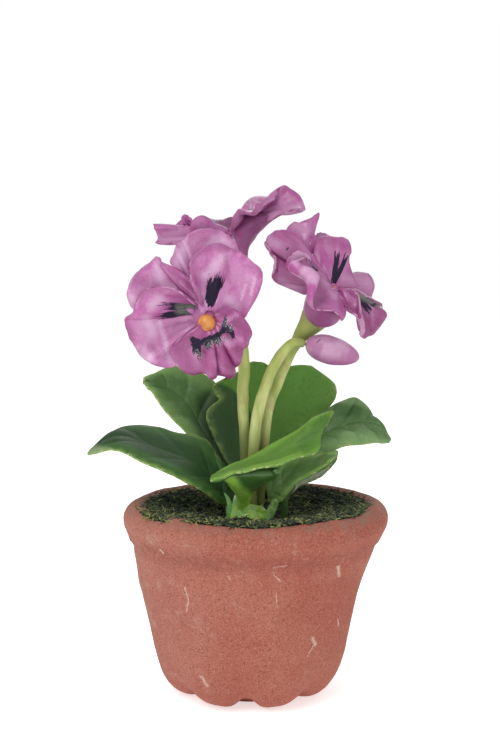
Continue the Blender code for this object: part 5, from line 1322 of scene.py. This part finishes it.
def build_bloom(name, bloom, back, shaded, edge, bead):
    throat, looks = Vector(bloom["throat"]) * MM, Vector(bloom["looks"]).normalized()
    if "rings" in bloom:
        pieces = [stacked("funnel_" + name, bloom["rings"], shaded)]
    else:
        pieces = [rolled_rod("funnel_" + name, bloom["funnel"], back, steps=24, sides=8)]
    if "cup" in bloom:
        pieces.append(rounded("cup_" + name, *bloom["cup"], 0.05, shaded))
        pieces.append(rounded("plug_" + name, *bloom["plug"], 0.05, back))
    for side, shape in bloom["petals"].items():
        shade = shape.get("shade", bloom["shade"])
        front = petal_front("petal_%s_%s" % (name, side), shape, shade, False)
        own = Vector(shape["throat"]) * MM if "throat" in shape else throat
        behind = back
        if name == "back":
            behind = petal_back("petal_back_" + side, PINK, shade, shape.get("pale", ()),
                                shape.get("dark", 0.0))
        pieces.append(shape_petal(side, own, looks, shape, [front, behind, edge]))
    plant_out(pressed_together("petals_" + name, pieces), "petal_pink", "bloom_" + name)
    lips = []
    for part in ("lip", "lobe"):
        if part in bloom:
            shape = bloom[part]
            front = petal_front("%s_%s" % (part, name), shape, bloom["shade"] * 0.5, True)
            own = Vector(shape["throat"]) * MM
            lips.append(shape_petal(part, own, looks, shape, [front, back, edge]))
    plant_out(pressed_together("lip_petal_" + name, lips), "lip_magenta", "lip_" + name)
    *centre, radius = bloom["eye"]
    eye = rounded("eye_bead_" + name, centre, (radius, radius, radius), 0.05, bead)
    plant_out(eye, "bead_orange", "eye_" + name)


def build_blooms():
    edge, bead = petal_edge(), bead_finish()
    backs = {"front": petal_back("petal_back_front", PINK, 0.1),
             "back": petal_back("petal_back_back", PINK, 0.3),
             "right": petal_back("petal_back_right", PALE_PINK, 0.1)}
    shaded = petal_back("petal_shaded", PINK, 0.62)
    for name, bloom in BLOOMS.items():
        build_bloom(name, bloom, backs[name], shaded, edge, bead)


build_blooms()


# THE BUD
# One closed bud of lilac-pink clay, rolled to a blunt spindle and pressed on the end of its stem. It is
# darker below, and has one dark nick.
BUD_START = (5.35, -0.6, 33.7)
BUD_END = (10.4, -1.4, 32.3)
BUD_RADIUS = 1.35
BUD_TAPER = 0.16
BUD_NICK = [(6.3, 33.8), (6.65, 34.1)]
BUD_LILAC, BUD_PALE = (0.4, 0.17, 0.32), (0.52, 0.3, 0.45)
BUD_UNDER, BUD_DARK = (0.34, 0.09, 0.25), (0.04, 0.01, 0.04)


def bud_finish():
    lilac = Finish("bud_lilac", Specular_IOR_Level=0.4, Subsurface_Weight=0.18, Subsurface_Scale=0.7 * MM)
    soft = lilac.cloud(1.5, 3)
    nick = lilac.stroke(BUD_NICK, 0.06, 0.1, 0.1) * lilac.y.between(-0.5, -1.2)
    colour = lilac.coats(BUD_LILAC, (BUD_PALE, soft.between(0.35, 0.65)),
                         (BUD_UNDER, lilac.z.between(33.2, 31.6) * 0.7), (BUD_DARK, nick))
    lilac.lay(colour, 0.38 + 0.2 * soft, lilac.cloud(0.3, 3), 0.03)
    return lilac.material


def build_bud():
    start, end = in_metres([BUD_START, BUD_END])
    length = (end - start).length
    mesh = bmesh.new()
    bmesh.ops.create_uvsphere(mesh, u_segments=56, v_segments=40, radius=1)
    for vertex in mesh.verts:
        x, y, share = vertex.co
        width = BUD_RADIUS * MM * (1 - BUD_TAPER * share) * (1 + 0.03 * noise.noise(vertex.co * 2.3))
        vertex.co = Vector((x * width, y * width, share * length / 2))
    turn = (end - start).to_track_quat("Z", "Y").to_matrix().to_4x4()
    bmesh.ops.transform(mesh, matrix=Matrix.Translation((start + end) / 2) @ turn, verts=mesh.verts)
    plant_out(piece_from(mesh, "closed_bud", [bud_finish()]), "bud_lilac", "bud")


build_bud()


# THE FLOOR, THE LIGHT AND THE CAMERA
# A plain white floor and a white wall all round, soft studio light from above, and the camera where the
# photograph was taken from. A lamp is (name, place, size, watts).
CAMERA_PLACE = (0.0, -106.0, 38.2)
CAMERA_PITCH = 4.1
CAMERA_LENS = 52.8
CAMERA_SENSOR = 36
STUDIO_REACH, WALL_REACH = 2000, 1800
PAPER_GRAIN = 40
FLOOR_GREY, FLOOR_GLOW, WALL_GLOW = 0.86, 0.58, 1.0
SKY_LIGHT = 0.55
LAMPS = [("key", (-110, -170, 230), 160, 0.4), ("fill", (200, -120, 150), 220, 0.06),
         ("back", (60, 240, 200), 220, 0.2)]
LAMPS_AIM = (0, 0, 25)


def studio_paper(name, grey, glow, shine):
    """White paper that glows a little, so that its corners and shadows stay pale."""
    paper = Finish(name, Specular_IOR_Level=shine, Emission_Strength=glow)
    paper.lay((grey, grey, grey), 0.9, paper.cloud(PAPER_GRAIN, 1), 0.001)
    paper.plug(paper.shader.inputs["Emission Color"], (1, 1, 1))
    return paper.material


def build_room():
    mesh = bmesh.new()
    bmesh.ops.create_grid(mesh, x_segments=1, y_segments=1, size=STUDIO_REACH * MM)
    floor = piece_from(mesh, "studio_floor", [studio_paper("studio_floor", FLOOR_GREY, FLOOR_GLOW, 0.1)])

    mesh = bmesh.new()
    bmesh.ops.create_cone(mesh, cap_ends=False, segments=64, radius1=WALL_REACH * MM,
                          radius2=WALL_REACH * MM, depth=STUDIO_REACH * 2 * MM)
    bmesh.ops.reverse_faces(mesh, faces=mesh.faces)
    backdrop = piece_from(mesh, "studio_backdrop", [studio_paper("studio_backdrop", 0.0, WALL_GLOW, 0.0)])
    backdrop.visible_diffuse = backdrop.visible_glossy = False
    backdrop.visible_transmission = backdrop.visible_shadow = False


def light_room():
    world = bpy.data.worlds.new("studio")
    bpy.context.scene.world = world
    world.use_nodes = True
    sky = world.node_tree.nodes["Background"].inputs
    sky["Color"].default_value = (1, 1, 1, 1)
    sky["Strength"].default_value = SKY_LIGHT
    for name, place, size, watts in LAMPS:
        light = bpy.data.lights.new(name, "AREA")
        light.size = size * MM
        light.energy = watts
        lamp = bpy.data.objects.new(name, light)
        lamp.location = Vector(place) * MM
        aim = Vector(LAMPS_AIM) * MM - lamp.location
        lamp.rotation_euler = aim.to_track_quat("-Z", "Y").to_euler()
        bpy.context.scene.collection.objects.link(lamp)


def set_camera():
    lens = bpy.data.cameras.new("camera")
    lens.lens = CAMERA_LENS
    lens.sensor_width = CAMERA_SENSOR
    lens.clip_start = MM
    camera = bpy.data.objects.new("camera", lens)
    camera.location = Vector(CAMERA_PLACE) * MM
    camera.rotation_euler = (math.radians(90 - CAMERA_PITCH), 0, 0)
    bpy.context.scene.collection.objects.link(camera)
    bpy.context.scene.camera = camera
    bpy.context.scene.view_settings.view_transform = "Standard"


build_room()
light_room()
set_camera()
